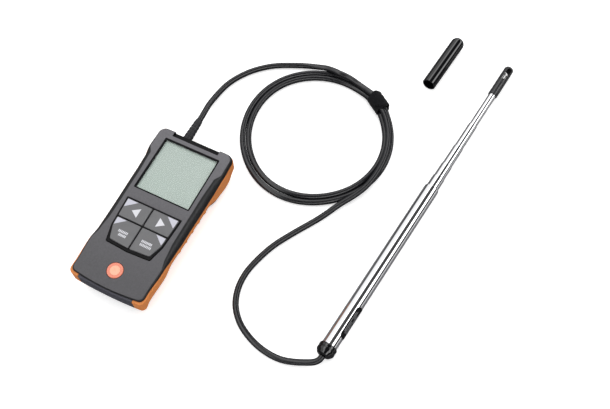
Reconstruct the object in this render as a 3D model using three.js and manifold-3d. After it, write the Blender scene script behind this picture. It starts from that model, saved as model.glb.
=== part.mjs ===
// Hand-held air-velocity meter with a telescopic probe on a cable, and the probe's loose cap.
// Millimetres, +Z up. The origin is the centre of the meter's flat back. +Y runs along the meter
// towards the end where the cable leaves it, and the keys and the display face +Z.
import * as THREE from "three";
import { mergeVertices } from "three/addons/utils/BufferGeometryUtils.js";
import Module from "manifold-3d";

const wasm = await Module();
wasm.setup();

// ---------------------------------------------------------------- driving dimensions

const GAP = 0.3; // clearance between two pieces that touch

// Housing: heights of the flat face and of the joint between the screw bosses of the two shells.
const FACE_Z = 26.8;
const SPLIT_Z = 14;
const UNDER_FACE = 20; // cutters for the openings in the face start here
const OVER_FACE = 30; // and end here
const FACE_THICKNESS = 1.6;
const WALL = 1.8;
const FLOOR_THICKNESS = 2;
const SLIT = 0.1; // half of the joint between two shells, and between a grip and its shell
const FOOT_Z = 1.2; // the back's edge is bevelled up to this height
const BACK_EDGE = 1.2;

// Four lines round the housing. Each has half-widths along its length, [y, half-width], two ends,
// the bulge of its bottom edge and the radii of its corners.
const FACE_LINE = {
  halves: [
    [-60, 28.8], [-41, 30], [-31, 28.2], [-18, 27.1], [20, 27.3], [41, 27.9], [47.5, 31], [61, 31.1],
  ],
  bottom: -66.8, top: 65.2, bulge: 2.4, bottomCorner: 3, topCorner: 5,
};
const PART_LINE = {
  halves: [
    [-60, 30.3], [-42, 31.4], [-30, 31.2], [-12, 31.6], [24, 32.2], [38, 32.5], [48, 33.3], [61, 32.9],
  ],
  bottom: -67.8, top: 66.8, bulge: 2.4, bottomCorner: 3.5, topCorner: 6,
};
const WIDE_LINE = {
  halves: [
    [-60, 31.5], [-42, 32.2], [-30, 31.6], [-12, 32], [24, 32.6], [36, 33], [47, 33.9], [61, 33.4],
  ],
  bottom: -70, top: 67, bulge: 1.3, bottomCorner: 4, topCorner: 6,
};
const BACK_LINE = {
  halves: [
    [-60, 25.6], [-42, 26.4], [-30, 25.4], [-10, 26], [26, 26.8], [38, 30], [50, 30.4], [61, 28.4],
  ],
  bottom: -66.6, top: 66, bulge: 1, bottomCorner: 5, topCorner: 6,
};
const TOP_BULGE = 0.4;
// Heights along the housing, [y, z]: of the parting line, and of the lowest widest place.
const PART_HEIGHTS = [
  [-60, 25], [-40, 24.5], [-29, 21.8], [-10, 20.7], [30, 20.2], [38, 20.6], [45, 22.6],
];
const WIDE_HEIGHTS = [
  [-70, 13], [-62, 16.5], [-42, 16], [-30, 18], [-10, 17], [26, 16.5], [37, 9.5], [52, 9.2], [62, 14],
];

// Soft side grips.
const GRIP_THICKNESS = 2;
const GRIP_LOW = 1.5;
const GRIP_END_X = 23; // the grips stop here at both ends of the meter
const GRIP_EDGE = 0.7;
const UNDER_GRIP = GRIP_THICKNESS + SLIT;
const RIB_COUNT = 6;
const RIB_FIRST_Y = 27;
const RIB_PITCH = 9.2;
const RIB_RADIUS = 1.3;
const RIB_PROUD = 0.5;
const RIB_LOW = 13.5;
const RIB_HIGH = 18.6;

// Connector panel in the top end, and the cable's boot.
const PANEL_HALF = 20;
const PANEL_FRONT_Y = 61.9;
const PANEL_END_Y = 66.2;
const PANEL_LOW = 4;
const PANEL_HIGH = 24.5;
const BOOT_X = -14.8;
const BOOT_Z = 11;
const BOOT_TIP_Y = 91.7;
const BOOT_BORE = 2.9;
const BOOT_FLANGE = 4.2; // radius of the flange behind the panel
const BOOT_FLANGE_LENGTH = 2.6;

// Display.
const WINDOW_HALF_X = 22.8;
const WINDOW_LOW_Y = 11;
const WINDOW_HIGH_Y = 57;
const GASKET_WIDTH = 0.9;
const WINDOW_LOW = 24.6;
const WINDOW_TOP = 25.7;
const GASKET_TOP = 26.3;
const WINDOW_SLIT = 0.15;
const LCD_TOP = 24.2;
const LCD_HALF_X = 23.4;
const LCD_LOW_Y = 7;
const LCD_HIGH_Y = 57.7;

// Keypad: half-widths of its outline along the meter. It tapers, then is cut back at its corners.
const PAD_TOP_Y = 0.2;
const PAD_TOP_HALF = 23.4;
const PAD_SIDE_Y = -25;
const PAD_SIDE_HALF = 21.9;
const PAD_BOTTOM_Y = -37.8;
const PAD_BOTTOM_HALF = 18.6;
const PAD_POINT_Y = -39; // the middle of its bottom edge
const PAD_TOP = 27.1;
const KEY_ROW_Y = -16.8; // the line between the two rows of keys
const KEY_GAP = 1.2;
const KEY_TOP = 27.9;
const KEY_BOTTOM = 23.2;
const KEY_SLIT = 0.25; // round each key, so that it can travel
const KEY_BORDER = 1.1; // between the keys and the keypad's edge
const DOME_TOP = 22.3;
const DOME_RADIUS = 5;
const DOME_X = 10.8;
const DOME_ROWS_Y = [-8.6, -26];

// Badge.
const BADGE_Y = -55.3;
const BADGE_RADIUS = 6.1;

// Board and cells.
const BOARD_LOW = 18.8;
const BOARD_HIGH = 20.4;
const BOARD_HALF_X = 22.5;
const BOARD_LOW_Y = -40;
const BOARD_HIGH_Y = 61;
const BOARD_NOTCH = 4;
const CELL_RADIUS = 7.2;
const CELL_LENGTH = 50.3;
const CELL_LOW_Y = -57.8;
const CELL_PITCH = 14.9;
const CELL_Z = 9.6;
const CONTACT_HALF_X = 20.8;
const CONTACT_THICKNESS = 0.5;
const CONTACT_LOW = 3;
const CONTACT_HIGH = 16;
const CELL_WALL_HALF_X = 22;
const CELL_WALL_THICKNESS = 1.6;

// Battery cover, a plate with slanted edges in a slanted slide.
const COVER_THICKNESS = 1.75;
const COVER_LOW_HALF = 21.5;
const COVER_HIGH_HALF = 22.5;
const COVER_INNER_Y = -5;
const COVER_OUTER_Y = -66;
const COVER_LIFT = 0.1; // the cover sits this far inside the back
const SLIDE_LOW_HALF = COVER_LOW_HALF + 0.2;
const SLIDE_HIGH_HALF = COVER_HIGH_HALF + 0.5;
const SLIDE_TOP = 2.2;
const THUMB_GROOVES = 4;
const THUMB_GROOVE_Y = -57;
const THUMB_GROOVE_PITCH = 2.4;
const THUMB_GROOVE_HALF_X = 8;

// Housing screws: [x, y, height of the head's underside].
const SCREWS = [[23, 61, 2.6], [-23, 61, 2.6], [10, -62.2, 4.3], [-10, -62.2, 4.3]];
const BOSS_RADIUS = 2.9;
const BOSS_LOW_TOP_END = 0.5; // where the rear shell's bosses start at the top end
const BOSS_LOW_BOTTOM_END = 2.6; // and at the bottom end, over the battery cover
const SCREW_HEAD_RADIUS = 2;
const SCREW_HEAD_HEIGHT = 1.8;
const SCREW_RADIUS = 1.2;
const SCREW_LENGTH = 17.4;

// Probe: it lies on its end collar and on the mouth of its handle tube.
const PROBE_HEADING = 6.83; // degrees from +Y towards +X
const PROBE_END = [160.4, -41.4]; // the back of the end collar, seen from above
const COLLAR_RADIUS = 7;
const COLLAR_LENGTH = 9;
const HANDLE_RADIUS = 6;
const HANDLE_WALL = 0.6;
const HANDLE_MOUTH = 162;
const PROBE_FACETS = 24;
const SECTION_WALL = 0.3;
const SECTION_RADII = [5, 4.55, 4.1, 3.65, 3.2];
const PROTRUSIONS = [11.4, 13.6, 20, 25.5, 35]; // how far each section stands out of the one before
const FIRST_SECTION_LENGTH = 128.5;
const LIP_LENGTH = 1.2; // the mouth of each tube is rolled in over this length
const LIP_CLEARANCE = 0.07;
const BUSH_LENGTH = 3;
const BUSH_CLEARANCE = 0.06;
const BUSH_THICKNESS = 0.7;
const HEAD_RADIUS = 4;
const HEAD_LENGTH = 34;
const SLOT_LOW = 18.2; // from the back of the head
const SLOT_HIGH = 30.8;
const SLOT_WIDTH = 3.8;
const SLOT_TURN = 15; // degrees from +Z towards +X, seen along the probe
const LABEL_LOW = 18;
const LABEL_HIGH = 45;
const LABEL_TURN = 64;
const LABEL_SPREAD = 86;

// Protective cap.
const CAP_OPEN_END = [139.95, 211.1];
const CAP_HEADING = 7.1;
const CAP_RADIUS = 5.8;
const CAP_BORE = 4.6;
const CAP_LENGTH = 56;
const CAP_BORE_DEPTH = 50;

// Cable: its diameter, its two leads, and the coil between them.
const CABLE = 4.8;
const CABLE_Z = 2.5; // the centre line of a strand that lies on the floor
const COIL_CENTRE = [74.7, 125.9];
const COIL_INNER = 57.05;
const COIL_OUTER = 61.95;
const GROOVE_Z = 7.1; // the centre line of the strand that lies on the other two
const TIE_ANGLE = 54.5; // degrees round the coil from +X
const TIE_WIDTH = 16;
const TIE_THICKNESS = 0.9;
const TIE_INNER = 53.9;
const TIE_OUTER = 65.1;
const TIE_HEIGHT = 12.4;
const TIE_TAIL_LOW = 1.5;

// From the boot, down to the floor, round, and up onto the coil.
const METER_LEAD = [
  [-14.8, 92, 11], [-15, 97.5, 10.8], [-15.7, 103.5, 9.8], [-16.7, 110, 7.7], [-17.4, 116.5, 5.2],
  [-17.4, 123, 3.5], [-16.8, 129.5, 2.65], [-14.9, 137.8, 2.5], [-10.9, 147.2, 2.5],
  [-2.5, 159.7, 2.5], [11.1, 172.1, 2.5], [27.9, 181.1, 2.55], [37.6, 184.9, 3],
  [46.3, 187, 4.15], [54.9, 188.3, 5.85], [62.2, 187.8, 7.35], [67.2, 187.1, 7.9],
  [74.7, 186.9, 7.65], [81, 185.8, 7.45], [87.1, 184.3, 7.15],
];
// Off the coil, down to the floor, round, and into the end of the probe.
const PROBE_LEAD = [
  [132.3, 141.3, 7.15], [134.9, 129.1, 7.42], [135.4, 117.4, 7.65], [134.4, 106.5, 7.55],
  [131.9, 96.8, 7], [127.5, 87.6, 6], [119.2, 74.8, 3.85], [114.1, 65.2, 2.75],
  [109.1, 56.1, 2.5], [98.4, 38.9, 2.5], [88.9, 22, 2.5], [83.5, 7.3, 2.5],
  [80.3, -7, 2.5], [80.8, -21, 2.5], [85.5, -33.8, 2.5], [94.2, -43.8, 2.5],
  [104.3, -50, 2.5], [114.7, -53.9, 2.5], [125.4, -55.7, 2.55], [134.9, -55.5, 2.95],
  [144.3, -53.1, 4.1], [149.6, -51.1, 5.1], [154.2, -49.2, 6.1], [157.4, -47.3, 6.7],
  [159.5, -44.8, 6.95], [160.33, -41.85, 7],
];

// ---------------------------------------------------------------- materials

function material(color, roughness, metalness = 0) {
  return new THREE.MeshStandardMaterial({ color, roughness, metalness });
}

const shellGrey = material(0x5a585c, 0.55);
const rearGrey = material(0x3a3a42, 0.6);
const gripOrange = material(0xcd7032, 0.6);
const softBlack = material(0x141416, 0.6);
const keyGrey = material(0x76767a, 0.5);
const clearWindow = material(0xb7c6bc, 0.15);
const lcdGreen = material(0xb4c4ba, 0.35);
const badgeOrange = material(0xd9622e, 0.35);
const boardGreen = material(0x1f5b3a, 0.5);
const springSteel = material(0xb8b8b8, 0.35, 1);
const cellSleeve = material(0x2c3a4e, 0.4, 0.3);
const screwSteel = material(0x8f8f94, 0.4, 1);
const cableGrey = material(0x38383d, 0.45);
const strapBlack = material(0x101012, 0.9);
const glossBlack = material(0x0b0b0d, 0.15);
const polishedChrome = material(0xdcdce0, 0.1, 1);
const brass = material(0xb58f4a, 0.35, 1);
const headBlack = material(0x1b1b1e, 0.4);
const ceramic = material(0xe4e2dc, 0.5);
const labelBlack = material(0x18181b, 0.35);

// ---------------------------------------------------------------- solids and booleans

function solidOf(geometry) {
  const bare = geometry.index ? geometry.toNonIndexed() : geometry.clone();
  bare.deleteAttribute("normal");
  bare.deleteAttribute("uv");
  const merged = mergeVertices(bare, 1e-4);
  return new wasm.Manifold(
    new wasm.Mesh({
      numProp: 3,
      vertProperties: merged.attributes.position.array,
      triVerts: new Uint32Array(merged.index.array),
    }),
  );
}

function geometryOf(solid) {
  const mesh = solid.getMesh();
  const geometry = new THREE.BufferGeometry();
  geometry.setAttribute("position", new THREE.BufferAttribute(mesh.vertProperties, 3));
  geometry.setIndex(new THREE.BufferAttribute(mesh.triVerts, 1));
  return geometry;
}

// The first geometry with the added ones joined to it and the removed ones cut from it.
function combine(base, { add = [], remove = [] }) {
  let solid = solidOf(base);
  for (const extra of add) solid = solid.add(solidOf(extra));
  for (const cutter of remove) solid = solid.subtract(solidOf(cutter));
  return geometryOf(solid);
}

function common(first, second) {
  return geometryOf(solidOf(first).intersect(solidOf(second)));
}

function box(x0, x1, y0, y1, z0, z1) {
  const geometry = new THREE.BoxGeometry(x1 - x0, y1 - y0, z1 - z0);
  return geometry.translate((x0 + x1) / 2, (y0 + y1) / 2, (z0 + z1) / 2);
}

// A flat outline raised from z0 to z1.
function prism(points, z0, z1) {
  const shape = new THREE.Shape(points.map(([x, y]) => new THREE.Vector2(x, y)));
  const geometry = new THREE.ExtrudeGeometry(shape, { depth: z1 - z0, bevelEnabled: false });
  return geometry.translate(0, 0, z0);
}

// The same with both of its edges bevelled.
function bevelledPrism(points, z0, z1, bevel) {
  const shape = new THREE.Shape(points.map(([x, y]) => new THREE.Vector2(x, y)));
  const geometry = new THREE.ExtrudeGeometry(shape, {
    depth: z1 - z0 - 2 * bevel,
    bevelThickness: bevel,
    bevelSize: bevel,
    bevelOffset: -bevel,
    bevelSegments: 2,
  });
  return geometry.translate(0, 0, z0 + bevel);
}

// A turned piece round the Y axis from [radius, y] points, anticlockwise in that plane.
function turned(points, facets = PROBE_FACETS) {
  return new THREE.LatheGeometry(points.map(([r, y]) => new THREE.Vector2(r, y)), facets);
}

function closedRing(points, facets = PROBE_FACETS) {
  return turned([...points, points[0]], facets);
}

// An upright cylinder.
function post(x, y, radius, z0, z1, facets = 16) {
  const geometry = new THREE.CylinderGeometry(radius, radius, z1 - z0, facets);
  return geometry.rotateX(Math.PI / 2).translate(x, y, (z0 + z1) / 2);
}

function piece(name, geometry, look, parent) {
  const mesh = new THREE.Mesh(geometry, look);
  mesh.name = name;
  parent.add(mesh);
}

// ---------------------------------------------------------------- outlines

// The value at y, joined smoothly from station to station.
function along(stations, y) {
  if (y <= stations[0][0]) return stations[0][1];
  const next = stations.findIndex(([at]) => at >= y);
  if (next < 0) return stations[stations.length - 1][1];
  const [y0, w0] = stations[next - 1];
  const [y1, w1] = stations[next];
  const t = (y - y0) / (y1 - y0);
  return w0 + (w1 - w0) * t * t * (3 - 2 * t);
}

const partHeight = (y) => along(PART_HEIGHTS, y);
const wideHeight = (y) => along(WIDE_HEIGHTS, y);

// A quarter of a rounded corner, with `steps` points, from one edge to the other.
function corner(x, y, radius, fromDegrees, steps) {
  const points = [];
  for (let i = 0; i <= steps; i++) {
    const angle = THREE.MathUtils.degToRad(fromDegrees + (90 * i) / steps);
    points.push([x + radius * Math.cos(angle), y + radius * Math.sin(angle)]);
  }
  return points;
}

// A line of the housing, set in by `inset`: its right side from the bottom up, then its left side.
function outline(line, inset = 0) {
  const low = line.bottom + inset;
  const high = line.top - inset;
  const lowCorner = Math.max(line.bottomCorner - inset, 1);
  const highCorner = Math.max(line.topCorner - inset, 1);
  const width = (y) => along(line.halves, y) - inset;
  const lowHalf = width(low + lowCorner);
  const highHalf = width(high - highCorner);
  const right = [];
  const edgeSteps = 4;
  for (let i = 0; i < edgeSteps; i++) right.push([((lowHalf - lowCorner) * i) / edgeSteps, low]);
  right.push(...corner(lowHalf - lowCorner, low + lowCorner, lowCorner, -90, 3));
  const sideSteps = 24;
  for (let i = 1; i < sideSteps; i++) {
    const y = low + lowCorner + ((high - highCorner - low - lowCorner) * i) / sideSteps;
    right.push([width(y), y]);
  }
  right.push(...corner(highHalf - highCorner, high - highCorner, highCorner, 0, 4));
  right.push([0, high]);
  for (const point of right) {
    if (point[1] < low + lowCorner) point[1] -= line.bulge * (1 - (point[0] / lowHalf) ** 2);
    if (point[1] > high - highCorner) point[1] += TOP_BULGE * (1 - (point[0] / highHalf) ** 2);
  }
  const left = right.slice(1, -1).map(([x, y]) => [-x, y]).reverse();
  return [...right, ...left];
}

// The same line at a height, which is a number or a function of y.
function ringAt(line, inset, height) {
  return outline(line, inset).map(([x, y]) => [x, y, typeof height === "number" ? height : height(y)]);
}

// A closed skin over rings of points, from the lowest ring to the highest.
function lofted(rings) {
  const count = rings[0].length;
  const index = [];
  for (let ring = 0; ring + 1 < rings.length; ring++) {
    for (let i = 0; i < count; i++) {
      const a = ring * count + i;
      const b = ring * count + ((i + 1) % count);
      index.push(a, b, b + count, a, b + count, a + count);
    }
  }
  const flat = (ring) => ring.map(([x, y]) => new THREE.Vector2(x, y));
  const top = (rings.length - 1) * count;
  for (const [a, b, c] of THREE.ShapeUtils.triangulateShape(flat(rings[0]), [])) index.push(a, c, b);
  for (const [a, b, c] of THREE.ShapeUtils.triangulateShape(flat(rings[rings.length - 1]), [])) {
    index.push(top + a, top + b, top + c);
  }
  const geometry = new THREE.BufferGeometry();
  geometry.setAttribute("position", new THREE.Float32BufferAttribute(rings.flat(2), 3));
  geometry.setIndex(index);
  return geometry;
}

// The keypad's outline, set in by `inset`.
function padOutline(inset) {
  const top = PAD_TOP_Y - inset;
  const right = [
    [0, PAD_POINT_Y + inset],
    [PAD_BOTTOM_HALF - inset * 0.8, PAD_BOTTOM_Y + inset],
    [PAD_SIDE_HALF - inset, PAD_SIDE_Y + inset * 0.3],
    [PAD_TOP_HALF - inset, top],
  ];
  const left = right.slice(1).map(([x, y]) => [-x, y]).reverse();
  return [...right, ...left];
}

// ---------------------------------------------------------------- housing

function screwHoles(radius, z0, z1) {
  return SCREWS.map(([x, y]) => post(x, y, radius, z0, z1));
}

// Everything above the parting line, from `offset` over it. The line curves along the meter only.
function aboveParting(offset) {
  const points = [[90, 60], [-90, 60]];
  for (let y = -90; y <= 90; y += 1.5) points.push([y, partHeight(y) + offset]);
  return prism(points, -60, 60).rotateX(Math.PI / 2).rotateZ(Math.PI / 2);
}

// From the parting line, over a rounded edge, to the flat face.
function frontBlank() {
  const low = outline(PART_LINE);
  const high = outline(FACE_LINE);
  const rings = [ringAt(PART_LINE, 0, (y) => partHeight(y) - 1)];
  const steps = 5;
  for (let i = 0; i <= steps; i++) {
    const angle = (Math.PI / 2) * (i / steps);
    rings.push(low.map(([x, y], at) => {
      const reach = 1 - Math.cos(angle);
      const base = partHeight(y) + SLIT;
      const z = base + (FACE_Z - base) * Math.sin(angle);
      return [x + (high[at][0] - x) * reach, y + (high[at][1] - y) * reach, z];
    }));
  }
  return common(lofted(rings), aboveParting(SLIT));
}

function frontShell() {
  const outer = frontBlank();
  const under = FACE_Z - FACE_THICKNESS;
  const hollow = lofted([
    ringAt(PART_LINE, WALL, SPLIT_Z), ringAt(PART_LINE, WALL, partHeight), ringAt(FACE_LINE, 0.9, under),
  ]);
  const frame = GASKET_WIDTH + 0.25;
  const display = box(
    -WINDOW_HALF_X - frame, WINDOW_HALF_X + frame, WINDOW_LOW_Y - frame, WINDOW_HIGH_Y + frame,
    UNDER_FACE, OVER_FACE,
  );
  const pad = prism(padOutline(-GAP), UNDER_FACE, OVER_FACE);
  const badge = post(0, BADGE_Y, BADGE_RADIUS + 0.15, FACE_Z - 1, OVER_FACE, 32);
  const ledge = box(-PANEL_HALF - GAP, PANEL_HALF + GAP, PANEL_FRONT_Y - GAP, 80, 0, OVER_FACE);
  const shell = combine(outer, { remove: [hollow, display, pad, badge, ledge] });
  const bosses = SCREWS.map(([x, y]) => post(x, y, BOSS_RADIUS, SPLIT_Z + SLIT, FACE_Z - 1));
  return combine(shell, { add: bosses, remove: screwHoles(SCREW_RADIUS + 0.2, 0, 22) });
}

// The sides from their lowest widest place up past the parting line, with a rounded edge there.
function sideRings() {
  const edge = (y) => partHeight(y) - SLIT - GRIP_EDGE;
  const close = (y) => partHeight(y) - SLIT;
  return [
    ringAt(WIDE_LINE, 0, wideHeight), ringAt(WIDE_LINE, 0, edge), ringAt(WIDE_LINE, GRIP_EDGE, close),
    ringAt(WIDE_LINE, GRIP_EDGE, 28),
  ];
}

// The rear shell is a core with a foot that the grips stand on, and is full width at its two ends.
function rearShell() {
  const core = lofted([
    ringAt(BACK_LINE, BACK_EDGE, 0), ringAt(BACK_LINE, 0, FOOT_Z), ringAt(BACK_LINE, 0, FOOT_Z + 0.1),
    ringAt(BACK_LINE, UNDER_GRIP, GRIP_LOW - 0.1), ringAt(WIDE_LINE, UNDER_GRIP, wideHeight),
    ringAt(WIDE_LINE, UNDER_GRIP, 28),
  ]);
  const full = lofted([
    ringAt(BACK_LINE, BACK_EDGE, 0), ringAt(BACK_LINE, 0, FOOT_Z), ...sideRings(),
  ]);
  const endHalf = GRIP_END_X - GAP;
  const ends = common(full, box(-endHalf, endHalf, -90, 90, -1, 40));
  const inside = UNDER_GRIP + WALL;
  const hollow = lofted([
    ringAt(BACK_LINE, inside + 0.4, FLOOR_THICKNESS), ringAt(WIDE_LINE, inside, wideHeight),
    ringAt(WIDE_LINE, inside, 40),
  ]);
  const slide = slantedPlate(SLIDE_LOW_HALF, SLIDE_HIGH_HALF, -0.2, SLIDE_TOP, -80, COVER_INNER_Y + GAP);
  const panel = box(-PANEL_HALF - GAP, PANEL_HALF + GAP, 60, 80, PANEL_LOW - GAP, 40);
  const shell = combine(core, { add: [ends], remove: [hollow, slide, panel] });
  const wallY = COVER_INNER_Y + 0.7;
  const cellWall = box(
    -CELL_WALL_HALF_X, CELL_WALL_HALF_X, wallY, wallY + CELL_WALL_THICKNESS, 1, SPLIT_Z,
  );
  const bosses = SCREWS.map(([x, y]) => {
    return post(x, y, BOSS_RADIUS, y > 0 ? BOSS_LOW_TOP_END : BOSS_LOW_BOTTOM_END, SPLIT_Z - SLIT);
  });
  const sinks = SCREWS.map(([x, y, head]) => post(x, y, SCREW_HEAD_RADIUS + 0.2, -1, head + 0.3));
  const seats = SCREWS.map(([x, y]) => post(x, y, BOSS_RADIUS + GAP, SPLIT_Z - SLIT, 40));
  return combine(shell, {
    add: [cellWall, ...bosses],
    remove: [...screwHoles(SCREW_RADIUS + 0.3, -1, 40), ...sinks, ...seats, aboveParting(-SLIT)],
  });
}

// The slanted slide of the battery cover, or the cover itself, between two half-widths.
function slantedPlate(lowHalf, highHalf, z0, z1, y0, y1) {
  const section = [[-lowHalf, z0], [lowHalf, z0], [highHalf, z1], [-highHalf, z1]];
  const plate = prism(section, 0, y1 - y0);
  return plate.rotateX(Math.PI / 2).translate(0, y1, 0);
}

// One soft side grip: a skin over the rear shell's side, wrapped round both corners, with ribs.
function sideGrip(side) {
  const outer = lofted([ringAt(BACK_LINE, 0, GRIP_LOW), ...sideRings()]);
  const inner = lofted([
    ringAt(BACK_LINE, GRIP_THICKNESS, GRIP_LOW - 0.4), ringAt(BACK_LINE, GRIP_THICKNESS, GRIP_LOW),
    ringAt(WIDE_LINE, GRIP_THICKNESS, wideHeight), ringAt(WIDE_LINE, GRIP_THICKNESS, 40),
  ]);
  const half = side > 0 ? box(GRIP_END_X, 50, -90, 90, 0, 40) : box(-50, -GRIP_END_X, -90, 90, 0, 40);
  const grip = combine(common(outer, half), { remove: [inner, aboveParting(-SLIT)] });
  const ribs = [];
  for (let i = 0; i < RIB_COUNT; i++) {
    const y = RIB_FIRST_Y - i * RIB_PITCH;
    const x = along(WIDE_LINE.halves, y) + RIB_PROUD - RIB_RADIUS;
    ribs.push(post(side * x, y, RIB_RADIUS, RIB_LOW, RIB_HIGH, 10));
  }
  return combine(grip, { add: ribs });
}

function batteryCover() {
  const plate = slantedPlate(
    COVER_LOW_HALF, COVER_HIGH_HALF, COVER_LIFT, COVER_THICKNESS, COVER_OUTER_Y, COVER_INNER_Y,
  );
  const grooves = [];
  for (let i = 0; i < THUMB_GROOVES; i++) {
    const y = THUMB_GROOVE_Y + i * THUMB_GROOVE_PITCH;
    grooves.push(box(-THUMB_GROOVE_HALF_X, THUMB_GROOVE_HALF_X, y, y + 1, -1, 0.6));
  }
  return combine(plate, { remove: grooves });
}

function topPanel() {
  const plate = box(-PANEL_HALF, PANEL_HALF, PANEL_FRONT_Y, PANEL_END_Y, PANEL_LOW, PANEL_HIGH);
  const bore = new THREE.CylinderGeometry(BOOT_BORE, BOOT_BORE, 20, PROBE_FACETS);
  bore.translate(BOOT_X, PANEL_END_Y, BOOT_Z);
  return combine(plate, { remove: [bore] });
}

function screw(x, y, head) {
  const points = [
    [0, 0], [SCREW_HEAD_RADIUS, 0], [SCREW_HEAD_RADIUS, SCREW_HEAD_HEIGHT - 0.4],
    [SCREW_RADIUS, SCREW_HEAD_HEIGHT], [SCREW_RADIUS, SCREW_LENGTH], [0, SCREW_LENGTH],
  ];
  return turned(points, 12).rotateX(Math.PI / 2).translate(x, y, head - SCREW_HEAD_HEIGHT);
}

// ---------------------------------------------------------------- display, keys and badge

function displayGasket() {
  const outer = GASKET_WIDTH;
  const ring = box(
    -WINDOW_HALF_X - outer, WINDOW_HALF_X + outer, WINDOW_LOW_Y - outer, WINDOW_HIGH_Y + outer,
    WINDOW_LOW, GASKET_TOP,
  );
  const open = box(
    -WINDOW_HALF_X, WINDOW_HALF_X, WINDOW_LOW_Y, WINDOW_HIGH_Y, UNDER_FACE, OVER_FACE,
  );
  return combine(ring, { remove: [open] });
}

function displayWindow() {
  return box(
    -WINDOW_HALF_X + WINDOW_SLIT, WINDOW_HALF_X - WINDOW_SLIT,
    WINDOW_LOW_Y + WINDOW_SLIT, WINDOW_HIGH_Y - WINDOW_SLIT, WINDOW_LOW, WINDOW_TOP,
  );
}

// One key's outline: its quarter of the keypad inside the black border.
function keyOutline(column, row) {
  const half = KEY_GAP / 2;
  const sideAt = (y) => {
    const t = (y - PAD_SIDE_Y) / (PAD_TOP_Y - PAD_SIDE_Y);
    return PAD_SIDE_HALF + (PAD_TOP_HALF - PAD_SIDE_HALF) * t - KEY_BORDER;
  };
  const top = row === 0 ? PAD_TOP_Y - KEY_BORDER : KEY_ROW_Y - half;
  const bottom = KEY_ROW_Y + half;
  const upper = [[half, bottom], [sideAt(bottom), bottom], [sideAt(top), top], [half, top]];
  const lower = [
    [half, PAD_POINT_Y + 2.4], [PAD_BOTTOM_HALF - 1.6, PAD_BOTTOM_Y + 2.4],
    [sideAt(PAD_SIDE_Y), PAD_SIDE_Y + 0.4], [sideAt(top), top], [half, top],
  ];
  const points = row === 0 ? upper : lower;
  return column > 0 ? points : points.map(([x, y]) => [-x, y]).reverse();
}

// The same outline grown by `amount` about its middle, for the opening round a key.
function grown(points, amount) {
  const xs = points.map(([x]) => x);
  const ys = points.map(([, y]) => y);
  const cx = (Math.min(...xs) + Math.max(...xs)) / 2;
  const cy = (Math.min(...ys) + Math.max(...ys)) / 2;
  return points.map(([x, y]) => [x + Math.sign(x - cx) * amount, y + Math.sign(y - cy) * amount]);
}

const KEYS = [
  { name: "key_left", column: -1, row: 0 },
  { name: "key_right", column: 1, row: 0 },
  { name: "key_mode", column: -1, row: 1 },
  { name: "key_menu", column: 1, row: 1 },
];

function keypadFrame() {
  const openings = KEYS.map(({ column, row }) => {
    return prism(grown(keyOutline(column, row), KEY_SLIT), UNDER_FACE, OVER_FACE);
  });
  return combine(prism(padOutline(0), KEY_BOTTOM + 0.8, PAD_TOP), { remove: openings });
}

function keyCap(column, row) {
  return bevelledPrism(keyOutline(column, row), KEY_BOTTOM, KEY_TOP, 0.3);
}

function keyDome(column, row) {
  const base = BOARD_HIGH + 0.2;
  const points = [
    [0, base], [DOME_RADIUS, base], [DOME_RADIUS, base + 0.4], [0.6 * DOME_RADIUS, DOME_TOP - 0.3],
    [0.3 * DOME_RADIUS, DOME_TOP], [0, DOME_TOP],
  ];
  return turned(points, 16).rotateX(Math.PI / 2).translate(column * DOME_X, DOME_ROWS_Y[row], 0);
}

// ---------------------------------------------------------------- board and cells

function mainBoard() {
  const plate = box(-BOARD_HALF_X, BOARD_HALF_X, BOARD_LOW_Y, BOARD_HIGH_Y, BOARD_LOW, BOARD_HIGH);
  const notches = SCREWS.slice(0, 2).map(([x, y]) => post(x, y, BOARD_NOTCH, SPLIT_Z, OVER_FACE));
  return combine(plate, { remove: notches });
}

function lcdModule() {
  return box(-LCD_HALF_X, LCD_HALF_X, LCD_LOW_Y, LCD_HIGH_Y, BOARD_HIGH + GAP, LCD_TOP);
}

function cell(index) {
  const r = CELL_RADIUS;
  const end = CELL_LENGTH;
  const points = [
    [0, 0], [r - 1, 0], [r, 0.5], [r, end - 1.8],
    [r - 1, end - 1.2], [2.7, end - 1.2], [2.7, end], [0, end],
  ];
  const turnedCell = turned(points, PROBE_FACETS);
  // Neighbouring cells lie head to tail.
  if (index === 1) turnedCell.rotateZ(Math.PI).translate(0, end, 0);
  return turnedCell.translate((index - 1) * CELL_PITCH, CELL_LOW_Y, CELL_Z);
}

function contactPlate(y) {
  return box(-CONTACT_HALF_X, CONTACT_HALF_X, y, y + CONTACT_THICKNESS, CONTACT_LOW, CONTACT_HIGH);
}

// ---------------------------------------------------------------- cable

function cableBoot() {
  const y = PANEL_END_Y + GAP;
  const tip = BOOT_TIP_Y;
  const behind = PANEL_FRONT_Y - GAP;
  const back = behind - BOOT_FLANGE_LENGTH;
  const points = [
    [0, back], [BOOT_FLANGE, back], [BOOT_FLANGE, behind], [2.6, behind], [2.6, y], [4.1, y],
    [4, y + 3], [3.1, tip - 1.4], [2.8, tip], [0, tip],
  ];
  return turned(points, 16).translate(BOOT_X, 0, BOOT_Z);
}

function cableTube(points, steps) {
  const path = new THREE.CatmullRomCurve3(points.map((p) => new THREE.Vector3(...p)), false, "centripetal");
  const section = new THREE.Shape();
  section.absarc(0, 0, CABLE / 2, 0, 2 * Math.PI, false);
  return new THREE.ExtrudeGeometry(section, {
    steps, curveSegments: 5, bevelEnabled: false, extrudePath: path,
  });
}

function polar(angle, radius, z) {
  const a = THREE.MathUtils.degToRad(angle);
  return [COIL_CENTRE[0] + radius * Math.cos(a), COIL_CENTRE[1] + radius * Math.sin(a), z];
}

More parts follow.
